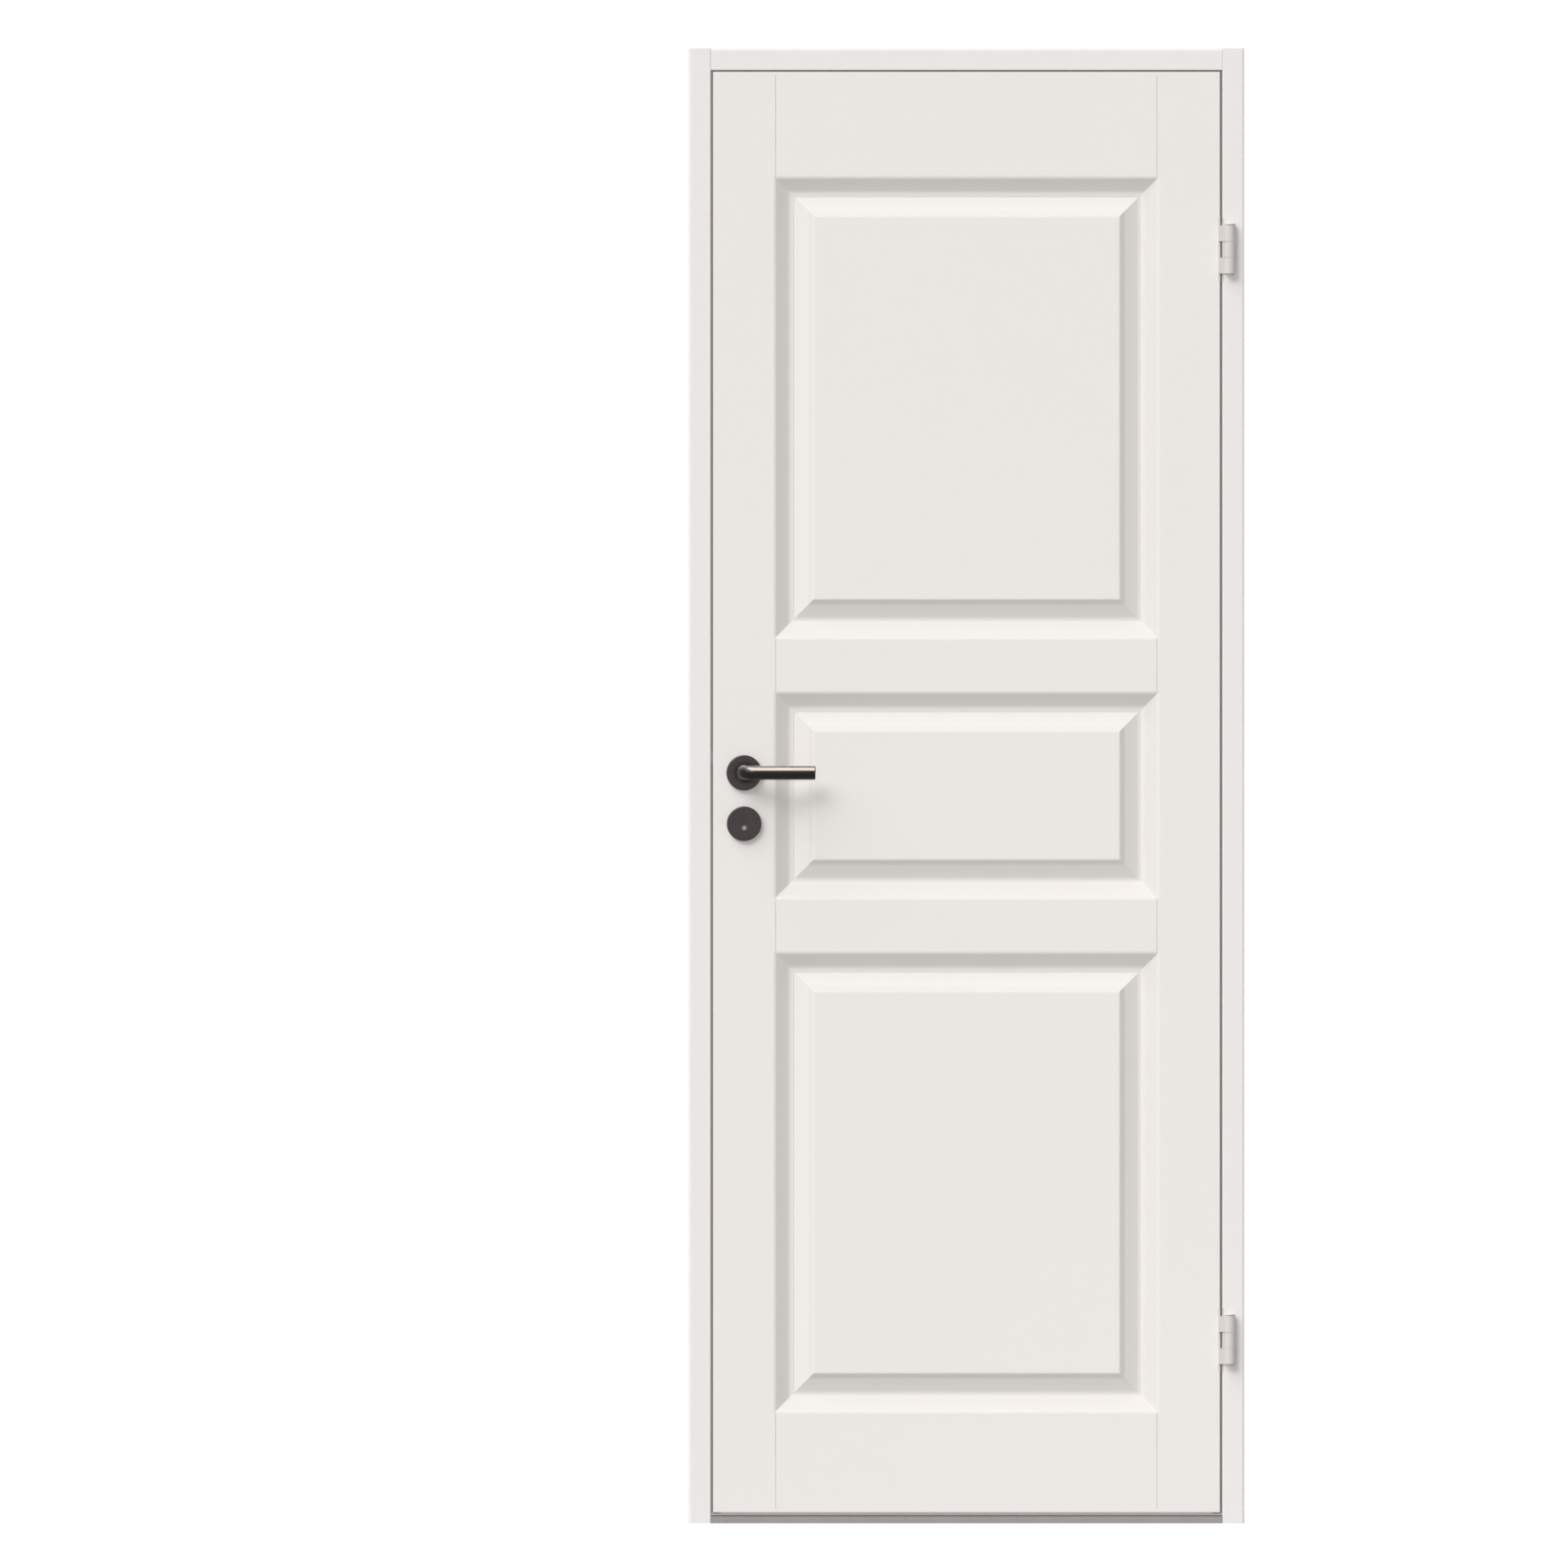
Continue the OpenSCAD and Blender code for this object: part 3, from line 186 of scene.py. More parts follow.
def soft_sun(name, comes_from, angle_deg, strength):
    """A sun whose wide disc gives soft shadows."""
    data = bpy.data.lights.new(name, "SUN")
    data.energy = strength
    data.angle = math.radians(angle_deg)
    sun = add_object(name, data)
    sun.rotation_mode = "QUATERNION"
    sun.rotation_quaternion = comes_from.to_track_quat("Z", "Y")
    return sun


soft_sun("window_light", WINDOW_FROM, WINDOW_ANGLE_DEG, WINDOW_STRENGTH)
soft_sun("bounced_light", BOUNCED_FROM, BOUNCED_ANGLE_DEG, BOUNCED_STRENGTH)
front_light = soft_sun("front_light", FRONT_FROM, FRONT_ANGLE_DEG, FRONT_STRENGTH)
front_light.visible_glossy = False
soft_sun("back_light", BACK_FROM, BACK_ANGLE_DEG, BACK_STRENGTH)
print(len(bpy.data.lights), "suns shine on the door")

# %% Sky
SKY_WHITE = (1.0, 1.0, 1.0, 1.0)
SKY_STRENGTH = 0.26
SKY_STRENGTH_SEEN = 1.0

world = bpy.data.worlds.new("sky")
scene.world = world
world.use_nodes = True
sky = world.node_tree
sky.nodes.clear()
sky_out = sky.nodes.new("ShaderNodeOutputWorld")
background = sky.nodes.new("ShaderNodeBackground")
background.inputs["Color"].default_value = SKY_WHITE
sky_level = sky.nodes.new("ShaderNodeMix")
sky_level.inputs["A"].default_value = SKY_STRENGTH
sky_level.inputs["B"].default_value = SKY_STRENGTH_SEEN
sky.links.new(looking_ray(sky), sky_level.inputs["Factor"])
sky.links.new(sky_level.outputs["Result"], background.inputs["Strength"])
sky.links.new(background.outputs[0], sky_out.inputs["Surface"])
print("the sky's strength is", SKY_STRENGTH, "and", SKY_STRENGTH_SEEN, "where it is seen")

# %% Floor
FLOOR_HALF = 14.0
FLOOR_PALE = (0.86, 0.86, 0.86, 1.0)
FLOOR_DIM = (0.30, 0.30, 0.30, 1.0)
FLOOR_ROUGHNESS = 0.9

corners = [(-FLOOR_HALF, -FLOOR_HALF, 0), (FLOOR_HALF, -FLOOR_HALF, 0)]
corners += [(FLOOR_HALF, FLOOR_HALF, 0), (-FLOOR_HALF, FLOOR_HALF, 0)]
floor_mesh = bpy.data.meshes.new("studio_floor")
floor_mesh.from_pydata(corners, [], [(0, 1, 2, 3)])
floor_material = bpy.data.materials.new("studio_floor")
floor_material.use_nodes = True
floor_tree = floor_material.node_tree
floor_shader = floor_tree.nodes["Principled BSDF"]
floor_shader.inputs["Roughness"].default_value = FLOOR_ROUGHNESS
floor_tone = two_tones(floor_tree, looking_ray(floor_tree), FLOOR_DIM, FLOOR_PALE)
floor_tree.links.new(floor_tone, floor_shader.inputs["Base Color"])
floor_mesh.materials.append(floor_material)
floor = add_object("studio_floor", floor_mesh)
print("the floor is", 2 * FLOOR_HALF, "m wide")

# %% [markdown]
# ## Shared finish: a painted skin
#
# Sprayed or rolled paint is never quite flat. It has a fine orange peel a millimetre or two across,
# a slower waviness over a hand's width, and a colour that drifts by a few parts in a thousand. Leaf,
# frame and hinges all have it, each with other amounts, so it is a node group with named sockets
# and is built once.
#
# The group can also darken the paint where a face turns away from the front: that is painted shade.
# The amount is the one that makes the mouldings stand out as in the picture.

# %% Node group helpers


def new_group(name, inputs, outputs):
    """An empty shader node group. Its sockets come as (name, type, default) and (name, type)."""
    group = bpy.data.node_groups.new(name, "ShaderNodeTree")
    for label, kind, default in inputs:
        socket = group.interface.new_socket(label, in_out="INPUT", socket_type=kind)
        socket.default_value = default
    for label, kind in outputs:
        group.interface.new_socket(label, in_out="OUTPUT", socket_type=kind)
    return group, group.nodes.new("NodeGroupInput"), group.nodes.new("NodeGroupOutput")


def noise(tree, coordinates, scale, detail=2.0, roughness=0.5):
    """A noise texture at one scale."""
    texture = tree.nodes.new("ShaderNodeTexNoise")
    texture.inputs["Scale"].default_value = scale
    texture.inputs["Detail"].default_value = detail
    texture.inputs["Roughness"].default_value = roughness
    tree.links.new(coordinates, texture.inputs["Vector"])
    return texture.outputs["Fac"]


def spread(tree, value, low, high):
    """Maps a 0 to 1 value to the range between two sockets."""
    node = tree.nodes.new("ShaderNodeMapRange")
    tree.links.new(value, node.inputs["Value"])
    tree.links.new(low, node.inputs["To Min"])
    tree.links.new(high, node.inputs["To Max"])
    return node.outputs["Result"]


# %% Painted skin group
ORANGE_PEEL_PER_M = 620.0
WAVES_PER_M = 9.0
PATCHES_PER_M = 3.2
WAVE_RELIEF = 1.5
STEEP_TURN = 0.15

skin, skin_in, skin_out = new_group(
    "painted_skin",
    [
        ("Color", "NodeSocketColor", (0.8, 0.8, 0.8, 1.0)),
        ("Drift", "NodeSocketFloat", 0.01),
        ("Gloss low", "NodeSocketFloat", 0.35),
        ("Gloss high", "NodeSocketFloat", 0.45),
        ("Peel", "NodeSocketFloat", 1.0),
        ("Painted shade on slopes", "NodeSocketFloat", 0.0),
    ],
    [("Color", "NodeSocketColor"), ("Roughness", "NodeSocketFloat"), ("Height", "NodeSocketFloat")],
)
skin_place = skin.nodes.new("ShaderNodeTexCoord").outputs["Object"]
peel = noise(skin, skin_place, ORANGE_PEEL_PER_M, detail=1.5)
waves = noise(skin, skin_place, WAVES_PER_M, detail=3.0)
patches = noise(skin, skin_place, PATCHES_PER_M, detail=4.0, roughness=0.6)
gloss = spread(skin, waves, skin_in.outputs["Gloss low"], skin_in.outputs["Gloss high"])
skin.links.new(gloss, skin_out.inputs["Roughness"])
darkest = maths(skin, "SUBTRACT", 1.0, skin_in.outputs["Drift"])
palest = maths(skin, "ADD", 1.0, skin_in.outputs["Drift"])
drifted = spread(skin, patches, darkest, palest)

# Painted shade: where a face turns away from the front, its colour gets darker, deepening the mouldings.
facing = skin.nodes.new("ShaderNodeSeparateXYZ")
skin.links.new(skin.nodes.new("ShaderNodeTexCoord").outputs["Normal"], facing.inputs[0])
turned_away = maths(skin, "SUBTRACT", 1.0, maths(skin, "ABSOLUTE", facing.outputs["Y"], 0.0))
slope_share = maths(skin, "MINIMUM", maths(skin, "DIVIDE", turned_away, STEEP_TURN), 1.0)
slope_shade_amount = maths(skin, "MULTIPLY", slope_share, skin_in.outputs["Painted shade on slopes"])
slope_shade_tone = maths(skin, "SUBTRACT", 1.0, slope_shade_amount)

shade = skin.nodes.new("ShaderNodeHueSaturation")
skin.links.new(skin_in.outputs["Color"], shade.inputs["Color"])
skin.links.new(maths(skin, "MULTIPLY", drifted, slope_shade_tone), shade.inputs["Value"])
skin.links.new(shade.outputs["Color"], skin_out.inputs["Color"])
fine = maths(skin, "MULTIPLY", peel, skin_in.outputs["Peel"])
slow = maths(skin, "MULTIPLY", waves, WAVE_RELIEF)
skin.links.new(maths(skin, "ADD", fine, slow), skin_out.inputs["Height"])
print(skin.name, "has", len(skin.nodes), "nodes")

# %% [markdown]
# ## Shared finish: drawn metal
#
# A drawn profile carries fine lines along its length, which are a noise stretched along one direction.
# The group takes three scales. With one small scale it gives such lines, as on the threshold. With
# three equal ones it gives the even fine grain of plated parts, such as the levers and the roses.

# %% Drawn metal group
CLOUDS_PER_M = 35.0

drawn, drawn_in, drawn_out = new_group(
    "drawn_metal",
    [
        ("Scales", "NodeSocketVector", (4.0, 900.0, 900.0)),
        ("Gloss low", "NodeSocketFloat", 0.2),
        ("Gloss high", "NodeSocketFloat", 0.35),
    ],
    [("Roughness", "NodeSocketFloat"), ("Height", "NodeSocketFloat"), ("Mask", "NodeSocketFloat")],
)
drawn_place = drawn.nodes.new("ShaderNodeTexCoord").outputs["Object"]
stretch = drawn.nodes.new("ShaderNodeVectorMath")
stretch.operation = "MULTIPLY"
drawn.links.new(drawn_place, stretch.inputs[0])
drawn.links.new(drawn_in.outputs["Scales"], stretch.inputs[1])
lines = noise(drawn, stretch.outputs[0], 1.0)
clouds = noise(drawn, drawn_place, CLOUDS_PER_M, detail=3.0)
streaks = spread(drawn, lines, drawn_in.outputs["Gloss low"], drawn_in.outputs["Gloss high"])
drawn.links.new(streaks, drawn_out.inputs["Roughness"])
drawn.links.new(lines, drawn_out.inputs["Height"])
drawn.links.new(clouds, drawn_out.inputs["Mask"])
print(drawn.name, "has", len(drawn.nodes), "nodes")

# %% [markdown]
# ## Materials
#
# Each material keeps its own Principled BSDF. What is the same all over, such as metalness, stays
# on the shader's socket, and only what changes over the surface comes from a group.

# %% Material helpers
METAL_CLOUD_TONE = 0.86


def linear(*rgb):
    """A colour as shown on a screen, 0 to 255, turned into the linear values that shaders use."""
    return [((v / 255 + 0.055) / 1.055) ** 2.4 if v > 10 else v / 255 / 12.92 for v in rgb] + [1.0]


def new_material(name, group, settings, constants):
    """A Principled material with one shared group in it. Also gives its tree, shader and group node."""
    material = bpy.data.materials.new(name)
    material.use_nodes = True
    tree = material.node_tree
    shader = tree.nodes["Principled BSDF"]
    for label, value in constants.items():
        shader.inputs[label].default_value = value
    placed = tree.nodes.new("ShaderNodeGroup")
    placed.node_tree = group
    for label, value in settings.items():
        placed.inputs[label].default_value = value
    tree.links.new(placed.outputs["Roughness"], shader.inputs["Roughness"])
    return material, tree, shader, placed


def add_bump(tree, height, shader, depth):
    """A bump of a real depth in metres."""
    bump = tree.nodes.new("ShaderNodeBump")
    bump.inputs["Strength"].default_value = 1.0
    bump.inputs["Distance"].default_value = depth
    tree.links.new(height, bump.inputs["Height"])
    tree.links.new(bump.outputs["Normal"], shader.inputs["Normal"])


def painted(name, color, drift, gloss, peel, depth, specular, shade_on_slopes=0.0):
    """A paint, a rubber or wood: one colour with a slow drift, a fine relief, and any painted slope
    shade.
    """
    settings = {"Color": color, "Drift": drift, "Gloss low": gloss[0], "Gloss high": gloss[1]}
    settings.update({"Peel": peel, "Painted shade on slopes": shade_on_slopes})
    material, tree, shader, placed = new_material(name, skin, settings, {"Specular IOR Level": specular})
    tree.links.new(placed.outputs["Color"], shader.inputs["Base Color"])
    add_bump(tree, placed.outputs["Height"], shader, depth)
    return material


def metal(name, color, scales, gloss, depth):
    """A bare or plated metal with lines or grain, and slightly darker clouds."""
    settings = {"Scales": scales, "Gloss low": gloss[0], "Gloss high": gloss[1]}
    material, tree, shader, placed = new_material(name, drawn, settings, {"Metallic": 1.0})
    darker = [c * METAL_CLOUD_TONE for c in color[:3]] + [1.0]
    tone = two_tones(tree, placed.outputs["Mask"], color, darker)
    tree.links.new(tone, shader.inputs["Base Color"])
    add_bump(tree, placed.outputs["Height"], shader, depth)
    return material


# %% [markdown]
# The leaf and the frame wear the same satin white. The hinges are enamelled and a little greyer and
# glossier. The levers are plated almost black and polished, and the roses are paler and duller, so
# they show as flat dark discs. The threshold is drawn aluminium, brushed along its length, and its
# grey is darker than bare aluminium as painted shade under the leaf.

# %% Paints and metals
DOOR_WHITE = linear(233, 229, 225)
FRAME_WHITE = linear(233, 229, 226)
HINGE_WHITE = linear(207, 203, 200)
LEVER_DARK = linear(46, 42, 40)
ROSE_DARK = linear(74, 69, 68)
ZINC_GREY = linear(188, 188, 190)
# The threshold's grey is darker than bare aluminium: painted shade under the leaf is part of it.
THRESHOLD_SHADED_GREY = linear(154, 149, 148)

SATIN = {"drift": 0.006, "peel": 1.0, "depth": 0.00003, "specular": 0.35}
EVEN_GRAIN = (60.0, 60.0, 60.0)
ZINC_GRAIN = (200.0, 200.0, 200.0)
ALONG_X = (3.0, 900.0, 900.0)

# The leaf's colour holds painted shade on its slopes, up to 11 per cent darker.
leaf_paint = painted("leaf_paint", DOOR_WHITE, gloss=(0.40, 0.50), shade_on_slopes=0.11, **SATIN)
frame_paint = painted("frame_paint", FRAME_WHITE, gloss=(0.42, 0.52), **SATIN)
hinge_enamel = painted(
    "hinge_enamel", HINGE_WHITE, drift=0.004, gloss=(0.28, 0.36), peel=0.5, depth=0.00001, specular=0.5
)
lever_plating = metal("lever_plating", LEVER_DARK, EVEN_GRAIN, gloss=(0.23, 0.29), depth=0.000001)
rose_plating = metal("rose_plating", ROSE_DARK, EVEN_GRAIN, gloss=(0.28, 0.36), depth=0.000002)
zinc = metal("zinc_plating", ZINC_GREY, ZINC_GRAIN, gloss=(0.28, 0.42), depth=0.000004)
threshold_alloy = metal("threshold_alloy", THRESHOLD_SHADED_GREY, ALONG_X, gloss=(0.38, 0.55), depth=0.000006)
print(len(bpy.data.materials), "materials so far")

# %% [markdown]
# Rubber, wood and the indicator are small parts, but each has its own look. The seals in the frame
# are matt and a little dusty. The one on the threshold is darker and has no shine: its grey is painted
# shade for the dark gap under the leaf. The dowels are beech. The indicator disc is pale where the
# window stands at rest, in a grey that holds painted shade of the deep window, and red a quarter
# turn away: a slanting line through its middle parts the two.

# %% Seals, dowels and indicator
SEAL_PALE = linear(222, 219, 216)
# The threshold seal's grey is darker than its rubber: painted shade for the gap under the leaf.
SILL_SHADE_GREY = linear(176, 172, 170)
BEECH_BROWN = linear(201, 165, 122)
# The indicator's pale is a grey with painted shade, as its window sits deep in the rose.
INDICATOR_PALE_SHADED = linear(166, 162, 158)
INDICATOR_RED = linear(168, 34, 30)
INDICATOR_RELIEF = 0.00001

seal_rubber = painted(
    "seal_rubber", SEAL_PALE, drift=0.02, gloss=(0.62, 0.78), peel=1.5, depth=0.00002, specular=0.3
)
sill_rubber_shaded = painted(
    "sill_rubber_shaded", SILL_SHADE_GREY, drift=0.010, gloss=(0.55, 0.70), peel=0.2, depth=0.00002, specular=0.0
)
beech = painted(
    "beech", BEECH_BROWN, drift=0.10, gloss=(0.55, 0.70), peel=2.0, depth=0.00008, specular=0.3
)

disc_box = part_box("indicator_disc")
disc_centre = (disc_box[0] + disc_box[1]) / 2
indicator, indicator_tree, indicator_shader, indicator_group = new_material(
    "indicator_fields", skin, {"Gloss low": 0.3, "Gloss high": 0.4}, {}
)
disc_place = indicator_tree.nodes.new("ShaderNodeTexCoord").outputs["Object"]
split = indicator_tree.nodes.new("ShaderNodeSeparateXYZ")
indicator_tree.links.new(disc_place, split.inputs[0])
aside = maths(indicator_tree, "SUBTRACT", split.outputs["X"], disc_centre.x)
above = maths(indicator_tree, "SUBTRACT", split.outputs["Z"], disc_centre.z)
is_red = maths(indicator_tree, "GREATER_THAN", above, aside)
fields = two_tones(indicator_tree, is_red, INDICATOR_PALE_SHADED, INDICATOR_RED)
indicator_tree.links.new(fields, indicator_shader.inputs["Base Color"])
add_bump(indicator_tree, indicator_group.outputs["Height"], indicator_shader, INDICATOR_RELIEF)
print(len(bpy.data.materials), "materials in all")

# %% [markdown]
# ## Giving every piece its finish
#
# The pieces keep the shape and place they were modelled with. Only the material slots change, and
# this table says which finish each kind of piece wears.

# %% Finish table
FINISHES = {
    "painted_wood": leaf_paint,
    "white_hinge": hinge_enamel,
    "dark_metal": rose_plating,
    "zinc_steel": zinc,
    "threshold_alloy": threshold_alloy,
    "seal": seal_rubber,
    "dowel_wood": beech,
    "indicator": indicator,
}
OWN_FINISHES = {
    "hinge_jamb": frame_paint,
    "strike_jamb": frame_paint,
    "frame_head": frame_paint,
    "front_lever": lever_plating,
    "rear_lever": lever_plating,
    "turn_spindle": rose_plating,
}
slot_of = {part["node"]: part["material_slot"] for part in frame["record"]["subparts"]}


def finish_of(node):
    """The material that a modelled piece wears."""
    return OWN_FINISHES.get(node, FINISHES[slot_of[node]])


for name, piece in nodes.items():
    piece.data.materials.clear()
    piece.data.materials.append(finish_of(name))
print(len(nodes), "pieces are finished")

# %% [markdown]
# ## The bent levers
#
# A lever is a round bar, bent once and set in a turned collar. In mesh code a circle is carried along
# that path: out of the rose, round the bend and along to the tip. The circles at the tip shrink in a
# quarter round, which gives the soft edge that catches the light. A square hole takes the spindle
# and a round one below takes the grub screw. Both are cut with boolean modifiers, applied at once.

# %% Rings of points into a skin
AROUND = 96


def around(sides):
    """The angles of evenly spaced points on a circle."""
    return [2 * math.pi * i / sides for i in range(sides)]


def arc(centre, radius, first_deg, last_deg, steps):
    """Points on an arc, as pairs."""
    points = []
    for i in range(steps + 1):
        angle = math.radians(first_deg + (last_deg - first_deg) * i / steps)
        points.append((centre[0] + radius * math.cos(angle), centre[1] + radius * math.sin(angle)))
    return points


def skin_of_rings(name, rings, endless):
    """Joins rings of equally many points. It is capped at both ends, or closes on its first ring."""
    work = bmesh.new()
    loops = [[work.verts.new(point) for point in ring] for ring in rings]
    neighbours = list(zip(loops, loops[1:]))
    if endless:
        neighbours.append((loops[-1], loops[0]))
    else:
        work.faces.new(loops[0])
        work.faces.new(loops[-1])
    for near, far in neighbours:
        for i in range(len(near)):
            j = (i + 1) % len(near)
            work.faces.new((near[i], near[j], far[j], far[i]))
    bmesh.ops.recalc_face_normals(work, faces=work.faces)
    mesh = bpy.data.meshes.new(name)
    work.to_mesh(mesh)
    work.free()
    return mesh


# %% Cutting holes
OVERSHOOT = 0.001


def peg(sides, radius, start, end, turn_deg=0.0):
    """A rod with this many sides between two points, to cut with."""
    axis = (end - start).normalized()
    turn = axis.to_track_quat("Z", "Y")
    rings = []
    for middle in (start, end):
        ring = []
        for step in around(sides):
            angle = step + math.radians(turn_deg)
            ring.append(middle + turn @ Vector((radius * math.cos(angle), radius * math.sin(angle), 0)))
        rings.append(ring)
    return skin_of_rings("peg", rings, endless=False)


def square_peg(side, start, end):
    """A square rod that lies on one of its flat sides."""
    return peg(4, side / math.sqrt(2), start, end, 45)


def cut_from(mesh, pegs):
    """Takes the pegs out of a mesh and returns the new mesh."""
    whole = add_object("whole", mesh)
    tools = []
    for shape in pegs:
        tool = add_object("tool", shape)
        hole = whole.modifiers.new("hole", "BOOLEAN")
        hole.operation = "DIFFERENCE"
        hole.solver = "EXACT"
        hole.object = tool
        tools.append(tool)
    bpy.context.view_layer.update()
    view = bpy.context.evaluated_depsgraph_get()
    result = bpy.data.meshes.new_from_object(whole.evaluated_get(view))
    for item in [whole] + tools:
        bpy.data.objects.remove(item)
    return result


# %% Placing finer pieces
SHARP_DEG = 32


def dress(mesh, material):
    """Smooth faces with sharp edges, and one material."""
    mesh.shade_smooth()
    mesh.set_sharp_from_angle(angle=math.radians(SHARP_DEG))
    mesh.materials.clear()
    mesh.materials.append(material)


def stand_for(node, mesh):
    """Places a mesh as the piece that stands for one modelled solid."""
    dress(mesh, finish_of(node))
    piece = add_object("fine_" + node, mesh)
    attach(piece, nodes[node]["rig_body"])
    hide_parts(node)
    print(piece.name, "has", len(mesh.polygons), "faces")
    return piece


# %% Levers
BAR_R = 0.00975
BEND_R = 0.016
BEND_STEPS = 24
BEND = math.radians(90)
COLLAR_END = 0.038
COLLAR_RIM = 0.0005
COLLAR_STEP = 0.0001
TIP_ROUND = 0.0022
TIP_FLAT_SHARE = 0.8
SOCKET_SIDE = 0.0081
SOCKET_END = 0.049
GRUB_R = 0.0025
GRUB_OUT = 0.033


def lever(node, side):
    """The lever on one side of the leaf: side is -1 in front and 1 behind."""
    low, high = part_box(node)
    middle_z = (low.z + high.z) / 2
    collar_r = (high.z - low.z) / 2
    axis_x = low.x + collar_r
    reach = high.x - axis_x
    base_out = min(abs(low.y), abs(high.y))
    bar_out = max(abs(low.y), abs(high.y)) - BAR_R

    stations = [(0.0, base_out, 0.0, collar_r)]
    for out, radius in arc((COLLAR_END - COLLAR_RIM, collar_r - COLLAR_RIM), COLLAR_RIM, 90, 0, 4):
        stations.append((0.0, out, 0.0, radius))
    stations.append((0.0, COLLAR_END + COLLAR_STEP, 0.0, BAR_R))
    for i in range(BEND_STEPS + 1):
        tilt = BEND * i / BEND_STEPS
        across = BEND_R * (1 - math.cos(tilt))
        stations.append((across, bar_out - BEND_R + BEND_R * math.sin(tilt), tilt, BAR_R))
    for along, radius in arc((reach - TIP_ROUND, BAR_R - TIP_ROUND), TIP_ROUND, 90, 12, 8):
        stations.append((along, bar_out, BEND, radius))
    stations.append((reach, bar_out, BEND, (BAR_R - TIP_ROUND) * TIP_FLAT_SHARE))

    rings = []
    for across, out, tilt, radius in stations:
        ring = []
        for angle in around(AROUND):
            beside = radius * math.cos(angle)
            x = axis_x + across + beside * math.cos(tilt)
            y = side * (out - beside * math.sin(tilt))
            ring.append((x, y, middle_z + radius * math.sin(angle)))
        rings.append(ring)
    mesh = skin_of_rings(node, rings, endless=False)

    inner = Vector((axis_x, side * (base_out - OVERSHOOT), middle_z))
    socket = square_peg(SOCKET_SIDE, inner, Vector((axis_x, side * SOCKET_END, middle_z)))
    below = Vector((axis_x, side * GRUB_OUT, middle_z - collar_r - OVERSHOOT))
    grub = peg(24, GRUB_R, below, Vector((axis_x, side * GRUB_OUT, middle_z)))
    return stand_for(node, cut_from(mesh, [socket, grub]))


levers = [lever("front_lever", -1), lever("rear_lever", 1)]

# %% [markdown]
# ## A panel of light for the polished levers
#
# A polished round bar mirrors whatever stands above it, and a photographer hangs a long white panel
# there so that the bar gets one clean bright line. Matt paint needs no such panel, so this one is
# linked to the levers alone, and it gives no diffuse light. It reaches over both sides of the leaf,
# and the leaf doesn't shade it, so the line runs up to the very top of each bar.

# %% Overhead panel
PANEL_HEIGHT = 3.0
PANEL_SIZE = (3.0, 8.6)
PANEL_MIDDLE_Y = 1.90
PANEL_RADIANCE = 37.0

panel_data = bpy.data.lights.new("overhead_panel", "AREA")
panel_data.shape = "RECTANGLE"
panel_data.size = PANEL_SIZE[0]
panel_data.size_y = PANEL_SIZE[1]
panel_data.energy = PANEL_RADIANCE * math.pi * PANEL_SIZE[0] * PANEL_SIZE[1]
panel = add_object("overhead_panel", panel_data)
panel.location = (0, PANEL_MIDDLE_Y, PANEL_HEIGHT)
panel.visible_diffuse = False
panel.visible_camera = False

polished = bpy.data.collections.new("polished_levers")
for piece in levers:
    polished.objects.link(piece)
panel.light_linking.receiver_collection = polished
panel.light_linking.blocker_collection = polished

# %% [markdown]
# ## Roses and thumb turn
#
# A rose is a thin cover pressed from sheet, so its rim is rounded and its hole has a small lip. Spinning
# a section round the axis gives exactly that. The front lock rose also has a round window for the
# indicator. The thumb turn is a casting: a round neck that flows into a flat grip with crowned edges,
# so its rings change from a circle to a soft slab.

# %% Roses
ROSE_WALL = 0.0015
RIM_ROUND = 0.0016
LIP_ROUND = 0.0003


def rose(node, side, hole_r, pegs=()):
    """A pressed cover with a round hole in the middle."""
    low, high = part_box(node)
    axis_x = (low.x + high.x) / 2
    axis_z = (low.z + high.z) / 2
    radius = (high.x - low.x) / 2
    back = min(abs(low.y), abs(high.y))
    front = max(abs(low.y), abs(high.y))
    section = [(hole_r, front - ROSE_WALL), (radius - ROSE_WALL, front - ROSE_WALL)]
    section += [(radius - ROSE_WALL, back), (radius, back)]
    section += arc((radius - RIM_ROUND, front - RIM_ROUND), RIM_ROUND, 0, 90, 8)
    section += arc((hole_r + LIP_ROUND, front - LIP_ROUND), LIP_ROUND, 90, 180, 3)
    rings = []
    for out_r, depth in section:
        ring = []
        for angle in around(AROUND):
            x = axis_x + out_r * math.cos(angle)
            ring.append((x, side * depth, axis_z + out_r * math.sin(angle)))
        rings.append(ring)
    mesh = skin_of_rings(node, rings, endless=True)
    stand_for(node, cut_from(mesh, pegs) if pegs else mesh)


HANDLE_HOLE_R = 0.0108
FRONT_LOCK_HOLE_R = 0.0015
REAR_LOCK_HOLE_R = 0.0063
WINDOW_R = 0.0034
WINDOW_DROP = 0.0056

lock_rose_low, lock_rose_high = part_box("front_lock_rose")
turn_x = (lock_rose_low.x + lock_rose_high.x) / 2
turn_z = (lock_rose_low.z + lock_rose_high.z) / 2
window_front = Vector((turn_x, lock_rose_low.y - OVERSHOOT, turn_z - WINDOW_DROP))
window_back = Vector((turn_x, lock_rose_high.y, turn_z - WINDOW_DROP))

rose("front_handle_rose", -1, HANDLE_HOLE_R)
rose("rear_handle_rose", 1, HANDLE_HOLE_R)
rose("front_lock_rose", -1, FRONT_LOCK_HOLE_R, [peg(48, WINDOW_R, window_front, window_back)])
rose("rear_lock_rose", 1, REAR_LOCK_HOLE_R)

# %% Thumb turn
GRIP_T = 0.009
GRIP_EDGE = 0.0022
GRIP_SIDES_POWER = 0.45
GRIP_ENDS_POWER = 0.85
NECK_R = 0.006
FLARE_START = 0.0295
FLARE_LENGTH = 0.004
FLARE_STEPS = 8
TURN_SOCKET_SIDE = 0.0051
TURN_SOCKET_END = 0.041

turn_low, turn_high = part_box("thumb_turn")
grip_half = (turn_high.z - turn_low.z) / 2


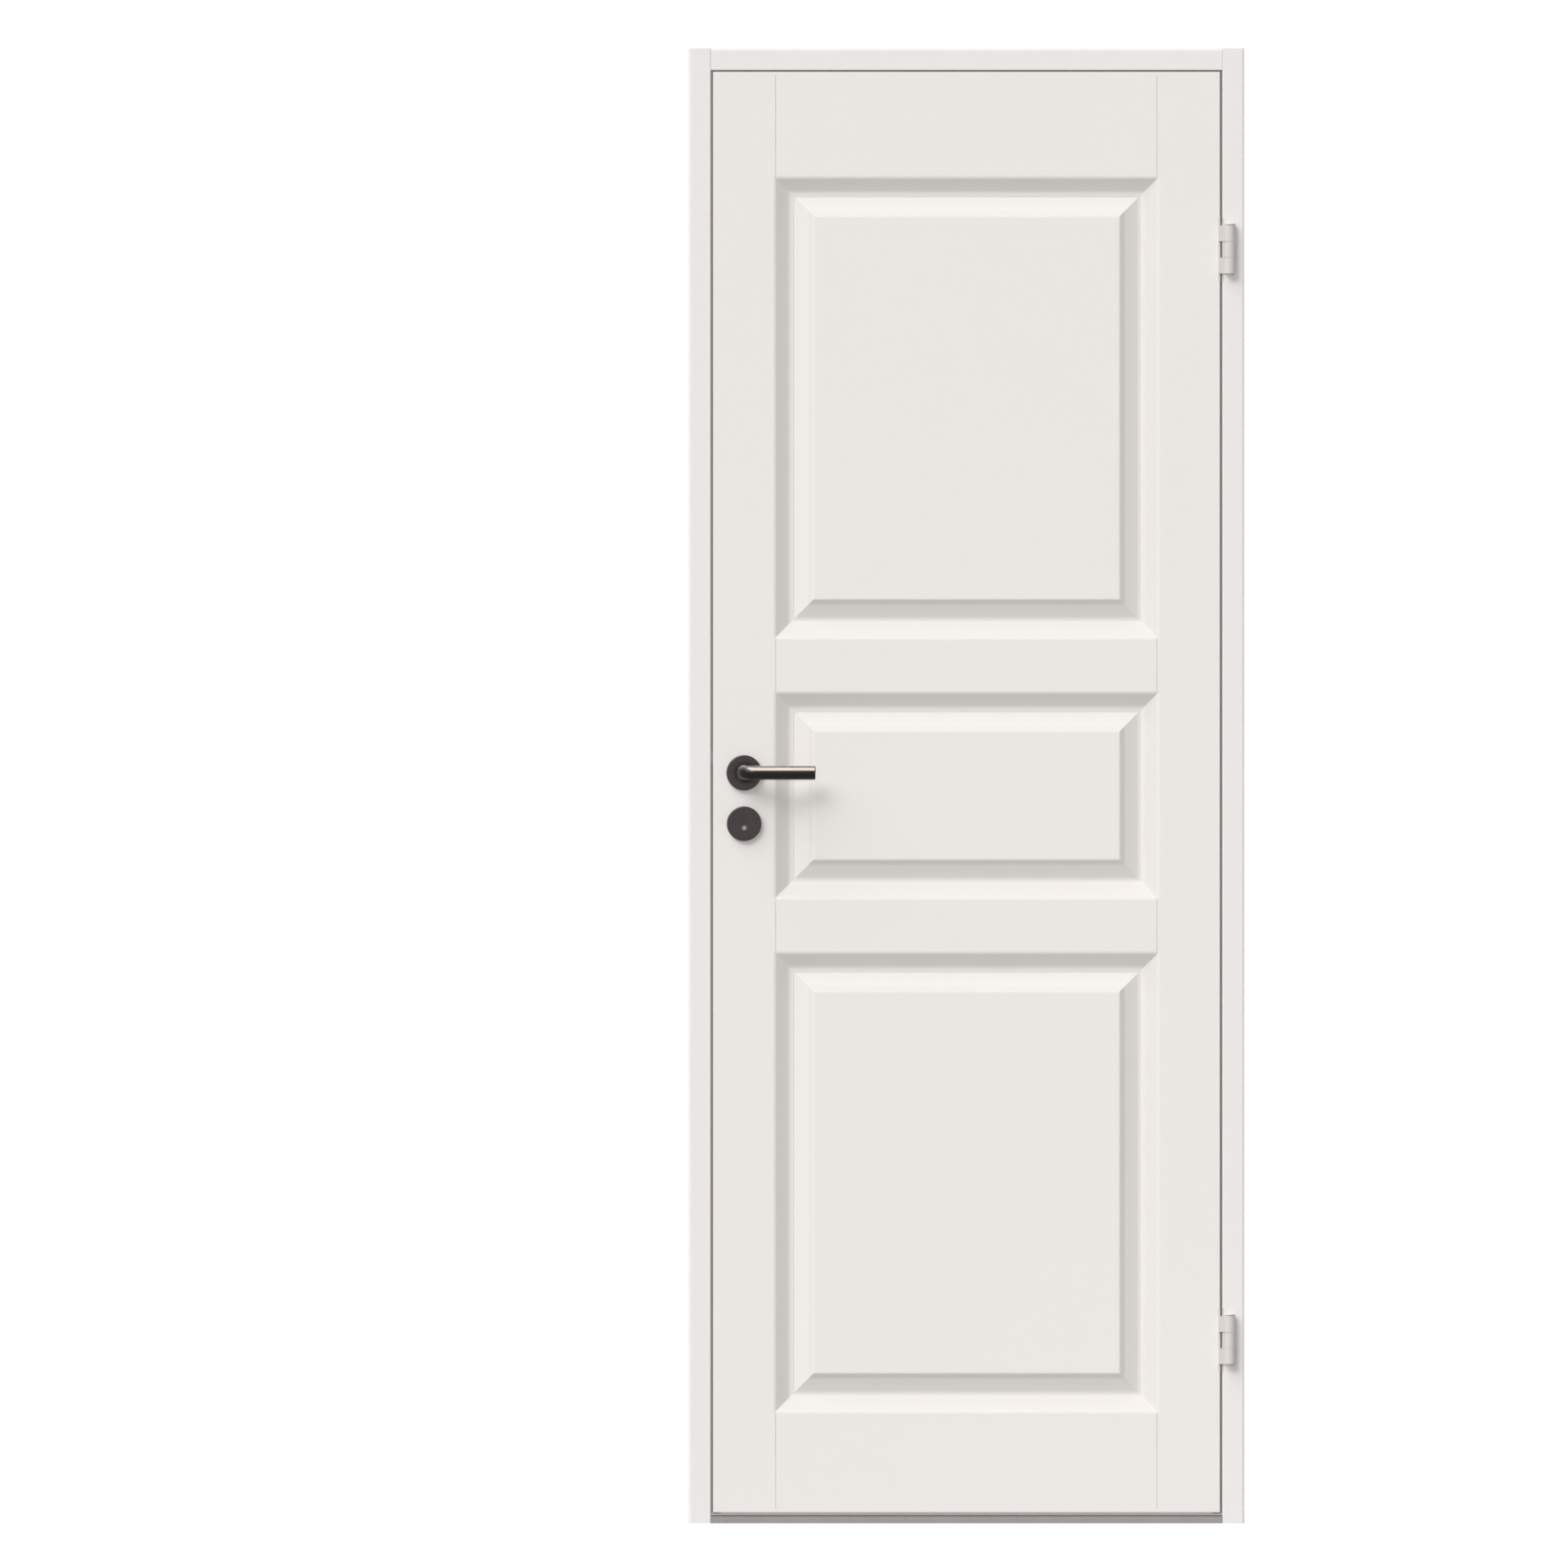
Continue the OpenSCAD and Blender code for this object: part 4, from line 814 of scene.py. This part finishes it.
def grip_ring(out, flat, shrink):
    """A ring round the turn: flat is 0 for the round neck and 1 for the full grip."""
    ring = []
    for angle in around(AROUND):
        cos, sin = math.cos(angle), math.sin(angle)
        slab_x = math.copysign((GRIP_T / 2 - shrink) * abs(cos) ** GRIP_SIDES_POWER, cos)
        slab_z = math.copysign((grip_half - shrink) * abs(sin) ** GRIP_ENDS_POWER, sin)
        x = turn_x + (1 - flat) * NECK_R * cos + flat * slab_x
        z = turn_z + (1 - flat) * NECK_R * sin + flat * slab_z
        ring.append((x, out, z))
    return ring


turn_rings = [grip_ring(turn_low.y, 0, 0), grip_ring(FLARE_START, 0, 0)]
for i in range(1, FLARE_STEPS + 1):
    share = i / FLARE_STEPS
    eased = share * share * (3 - 2 * share)
    turn_rings.append(grip_ring(FLARE_START + FLARE_LENGTH * share, eased, 0))
for out, inset in arc((turn_high.y - GRIP_EDGE, -GRIP_EDGE), GRIP_EDGE, 90, 0, 8):
    turn_rings.append(grip_ring(out, 1, -inset))
turn_mesh = skin_of_rings("thumb_turn", turn_rings, endless=False)
turn_socket_start = Vector((turn_x, turn_low.y - OVERSHOOT, turn_z))
turn_socket_end = Vector((turn_x, TURN_SOCKET_END, turn_z))
turn_socket = square_peg(TURN_SOCKET_SIDE, turn_socket_start, turn_socket_end)
stand_for("thumb_turn", cut_from(turn_mesh, [turn_socket]))

# %% [markdown]
# ## Latch spring
#
# The coil spring inside the lock sits between the latch bolt and a stop in the case. When the lever
# turns, the bolt comes back and the spring gets shorter. Its wire keeps the modelled shape: a copy
# stands in place of the modelled spring, which is hidden, and the copy stays where it was modelled.

# %% Latch spring
spring_mesh = nodes["latch_spring"].data.copy()
spring_mesh.name = "latch_spring_turns"
spring = add_object("fine_latch_spring", spring_mesh)
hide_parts("latch_spring")
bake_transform(spring)

# %% [markdown]
# ## Seal along the threshold
#
# A soft seal lies along the threshold under the front edge of the leaf and fills most of the gap
# there, so hardly any light comes in under the door. It is a low strip with a rounded top, drawn as
# a section and carried from jamb to jamb. It is lower than the gap, so the leaf passes over it.

# %% Threshold seal
LIP_Y = (-0.0190, -0.0130)
LIP_RISE = 0.0026
LIP_END = 0.0004

sill_low, sill_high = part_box("threshold")
lip_round = (LIP_Y[1] - LIP_Y[0]) / 2
lip_middle = (LIP_Y[0] + LIP_Y[1]) / 2
lip_section = [(LIP_Y[1], sill_high.z), (LIP_Y[0], sill_high.z)]
lip_section += arc((lip_middle, sill_high.z + LIP_RISE - lip_round), lip_round, 180, 0, 8)
lip_ends = (sill_low.x + LIP_END, sill_high.x - LIP_END)
lip_rings = [[(x, y, z) for y, z in lip_section] for x in lip_ends]
lip_mesh = skin_of_rings("threshold_seal", lip_rings, endless=False)
# The seal's grey is painted shade for the dark gap under the leaf.
dress(lip_mesh, sill_rubber_shaded)
threshold_seal = add_object("threshold_seal", lip_mesh)
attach(threshold_seal, nodes["threshold"]["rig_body"])
print("the threshold seal is", round(1000 * (lip_ends[1] - lip_ends[0])), "mm long")
